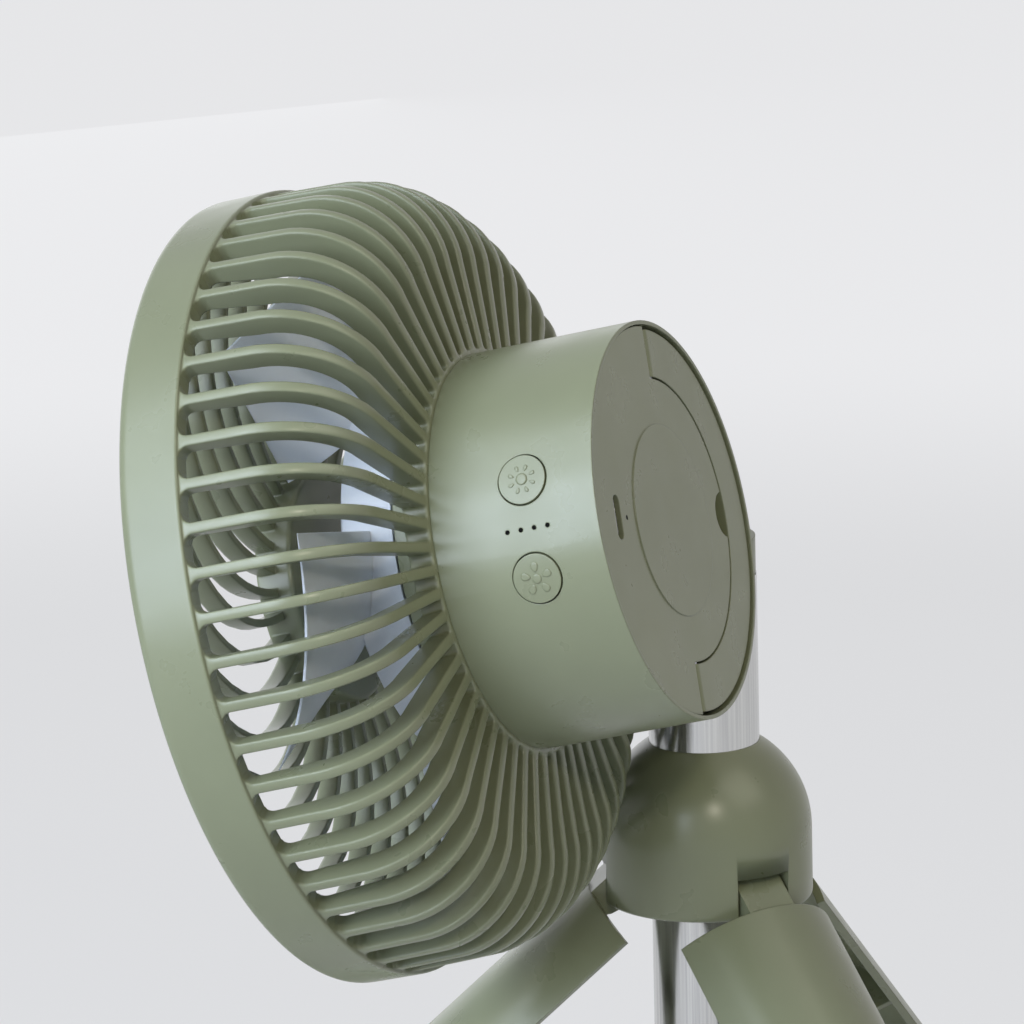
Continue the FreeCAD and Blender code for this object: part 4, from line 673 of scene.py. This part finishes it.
def make_hub(material):
    """Domed hub with three slots for the legs."""
    bottom = hinge_z - HUB_SKIRT
    top = math.degrees(math.acos(POLE_RADIUS / HUB_RADIUS))
    dome = arc(0, hinge_z + HUB_DOME_RISE, HUB_RADIUS, 0, top, 20)
    foot = softened([
        (HUB_CAP_RADIUS, bottom, 0.2 * MM),
        (HUB_RADIUS, bottom, HUB_EDGE),
        (HUB_RADIUS, bottom + 4 * HUB_EDGE, 0),
    ])
    inner = [(POLE_RADIUS, bottom + HUB_CAP_WALL), (HUB_CAP_RADIUS, bottom + HUB_CAP_WALL)]
    outline = inner + foot + dome
    mesh = bmesh.new()
    turned(mesh, outline, on_pole)
    hub = add_piece(mesh, "hub_body", material, "base", "green_plastic", "hub_shell")
    cutter_mesh = bmesh.new()
    for name in ("leg_one_fold", "leg_two_fold", "leg_three_fold"):
        towards = Vector(joints[name]["pos_m"]) - Vector((pole.x, pole.y, hinge_z))
        towards.normalize()
        across = Vector((-towards.y, towards.x, 0))
        sections = []
        for reach in (HUB_SLOT_IN, HUB_RADIUS + 2 * MM):
            middle = Vector((pole.x, pole.y, 0)) + towards * reach
            corners = [(-1, bottom - 2 * MM), (1, bottom - 2 * MM), (1, hinge_z + HUB_SLOT_RISE),
                       (-1, hinge_z + HUB_SLOT_RISE)]
            sections.append([middle + across * (sign * HUB_SLOT_WIDTH / 2) + Vector((0, 0, height))
                             for sign, height in corners])
        swept(cutter_mesh, sections)
    bmesh.ops.recalc_face_normals(cutter_mesh, faces=cutter_mesh.faces)
    cutter_data = bpy.data.meshes.new("leg_slots")
    cutter_mesh.to_mesh(cutter_data)
    cutter_mesh.free()
    cutter = bpy.data.objects.new("leg_slots", cutter_data)
    bpy.context.collection.objects.link(cutter)
    cut = hub.modifiers.new("leg_slots", "BOOLEAN")
    cut.object = cutter
    cut.solver = "EXACT"
    bpy.context.view_layer.update()
    done = bpy.data.meshes.new_from_object(hub.evaluated_get(bpy.context.evaluated_depsgraph_get()))
    hub.modifiers.clear()
    hub.data = done
    bpy.data.objects.remove(cutter)
    hub.data.set_sharp_from_angle(angle=SHARP_ANGLE)
    hub.modifiers.new("even_normals", "WEIGHTED_NORMAL").keep_sharp = True


# Floor, light and camera

CAMERA_OFFSET = Vector((1.6462, 0.5830, 0.4408))
CAMERA_AZIMUTH = 110.18
CAMERA_ELEVATION = 14.0
CAMERA_ROLL = -1.4
CAMERA_LENS = 281.25
LAMP_DISTANCE = 1.7
FLOOR_NEAR = 0.8
FLOOR_FAR = 1.2
FLOOR_RADIUS = 14.0
FLOOR_SIDES = 96


def seen_directly(tree):
    """Factor of one for camera, mirror and glass rays, and of zero for the light on the fan."""
    path = tree.nodes.new("ShaderNodeLightPath")
    seen = path.outputs["Is Camera Ray"]
    for output in ("Is Glossy Ray", "Is Transmission Ray"):
        either = tree.nodes.new("ShaderNodeMath")
        either.operation = "MAXIMUM"
        tree.links.new(seen, either.inputs[0])
        tree.links.new(path.outputs[output], either.inputs[1])
        seen = either.outputs["Value"]
    return seen


def make_stage():
    """Wide plain floor whose glow is painted shade near the fan: dimmer there, and a little brighter from a
    step behind the fan on.
    """
    material = bpy.data.materials.new("floor_paper")
    material.use_nodes = True
    tree = material.node_tree
    nodes = tree.nodes
    paper = nodes["Principled BSDF"]
    paper.inputs["Base Color"].default_value = srgb(208, 209, 211)
    paper.inputs["Roughness"].default_value = 0.9
    place = nodes.new("ShaderNodeTexCoord").outputs["Object"]
    noise = nodes.new("ShaderNodeTexNoise")
    noise.inputs["Scale"].default_value = 600
    tree.links.new(place, noise.inputs["Vector"])
    bump = nodes.new("ShaderNodeBump")
    bump.inputs["Distance"].default_value = 0.0001
    bump.inputs["Strength"].default_value = 0.2
    tree.links.new(noise.outputs["Fac"], bump.inputs["Height"])
    tree.links.new(bump.outputs["Normal"], paper.inputs["Normal"])
    reach = nodes.new("ShaderNodeVectorMath")
    reach.operation = "LENGTH"
    tree.links.new(place, reach.inputs[0])
    # Painted shade: the floor's glow is dimmed to 0.84 near the fan and rises to full strength behind it.
    painted_shade_fade = nodes.new("ShaderNodeMapRange")
    painted_shade_fade.interpolation_type = "SMOOTHSTEP"
    painted_shade_fade.inputs["From Min"].default_value = FLOOR_NEAR
    painted_shade_fade.inputs["From Max"].default_value = FLOOR_FAR
    painted_shade_fade.inputs["To Min"].default_value = 0.84
    painted_shade_fade.inputs["To Max"].default_value = 1.0
    tree.links.new(reach.outputs["Value"], painted_shade_fade.inputs["Value"])
    glow = nodes.new("ShaderNodeEmission")
    glow.inputs["Color"].default_value = (0.985, 0.985, 1.0, 1)
    tree.links.new(painted_shade_fade.outputs["Result"], glow.inputs["Strength"])
    share = nodes.new("ShaderNodeMath")
    share.operation = "MULTIPLY"
    share.inputs[1].default_value = 0.76
    tree.links.new(seen_directly(tree), share.inputs[0])
    mix = nodes.new("ShaderNodeMixShader")
    tree.links.new(share.outputs["Value"], mix.inputs["Fac"])
    tree.links.new(paper.outputs["BSDF"], mix.inputs[1])
    tree.links.new(glow.outputs["Emission"], mix.inputs[2])
    tree.links.new(mix.outputs["Shader"], nodes["Material Output"].inputs["Surface"])
    mesh = bmesh.new()
    edge = disc_outline(0, 0, FLOOR_RADIUS, FLOOR_SIDES)
    mesh.faces.new([mesh.verts.new((x, y, 0)) for x, y in edge])
    data = bpy.data.meshes.new("floor")
    mesh.to_mesh(data)
    mesh.free()
    data.materials.append(material)
    floor = bpy.data.objects.new("floor", data)
    bpy.context.collection.objects.link(floor)


def area_light(name, place, target, width, height, power, colour=(1, 1, 1)):
    data = bpy.data.lights.new(name, "AREA")
    data.shape = "RECTANGLE"
    data.size = width
    data.size_y = height
    data.energy = power
    data.color = colour
    lamp = bpy.data.objects.new(name, data)
    lamp.location = place
    lamp.rotation_euler = (target - place).to_track_quat("-Z", "Y").to_euler()
    bpy.context.collection.objects.link(lamp)


def make_light(target):
    """Soft lamps placed by their share of sideways, up and towards the camera."""
    world = bpy.data.worlds.new("studio")
    bpy.context.scene.world = world
    world.use_nodes = True
    background = world.node_tree.nodes["Background"]
    background.inputs["Color"].default_value = (0.93, 0.96, 1.0, 1)
    background.inputs["Strength"].default_value = 0.12
    tree = world.node_tree
    backdrop = tree.nodes.new("ShaderNodeBackground")
    backdrop.inputs["Color"].default_value = (0.78, 0.78, 0.80, 1)
    mix = tree.nodes.new("ShaderNodeMixShader")
    tree.links.new(seen_directly(tree), mix.inputs["Fac"])
    tree.links.new(background.outputs["Background"], mix.inputs[1])
    tree.links.new(backdrop.outputs["Background"], mix.inputs[2])
    tree.links.new(mix.outputs["Shader"], tree.nodes["World Output"].inputs["Surface"])
    azimuth = math.radians(CAMERA_AZIMUTH)
    sideways = Vector((math.cos(azimuth), math.sin(azimuth), 0))
    forwards = Vector((math.sin(azimuth), -math.cos(azimuth), 0))
    lamps = [
        ("window", -0.7, 0.35, 0.8, 1.0, 26, (0.73, 0.83, 1.0)),
        ("skylight", -0.7, 0.8, 0.4, 1.1, 16, (0.79, 0.9, 1.0)),
        ("overhead", 0.7, 0.8, 0.4, 1.1, 6.5, (1.0, 0.97, 0.82)),
        ("front_spot", 0.2, 0.6, 1.0, 0.14, 4.5, (1.0, 0.92, 0.76)),
        ("front_fill", -0.4, 0.0, -1.0, 1.2, 3, (0.96, 0.98, 1.0)),
    ]
    for name, across, above, towards, width, power, colour in lamps:
        direction = (sideways * across + Vector((0, 0, above)) + forwards * towards).normalized()
        area_light(name, target + direction * LAMP_DISTANCE, target, width, width, power, colour)


def make_camera(pivot):
    data = bpy.data.cameras.new("view")
    data.sensor_fit = "HORIZONTAL"
    data.sensor_width = 36
    data.lens = CAMERA_LENS
    data.clip_end = 20
    camera = bpy.data.objects.new("view", data)
    bpy.context.collection.objects.link(camera)
    turn = Matrix.Rotation(math.radians(CAMERA_AZIMUTH), 4, "Z")
    tip = Matrix.Rotation(math.radians(90 - CAMERA_ELEVATION), 4, "X")
    roll = Matrix.Rotation(math.radians(CAMERA_ROLL), 4, "Z")
    camera.matrix_world = Matrix.Translation(pivot + CAMERA_OFFSET) @ turn @ tip @ roll
    bpy.context.scene.camera = camera


materials = paint_nodes()
make_symbols(materials["button"])
make_cage(materials["rib"])
make_impeller(materials["frosted"])
make_front(materials["rib"])
make_hub(materials["green"])
tilt = Vector(joints["head_tilt"]["pos_m"])
pivot = Vector((rear_centre.x, tilt.y, tilt.z))
make_stage()
make_light(pivot)
make_camera(pivot)
bpy.context.scene.view_settings.view_transform = "Standard"
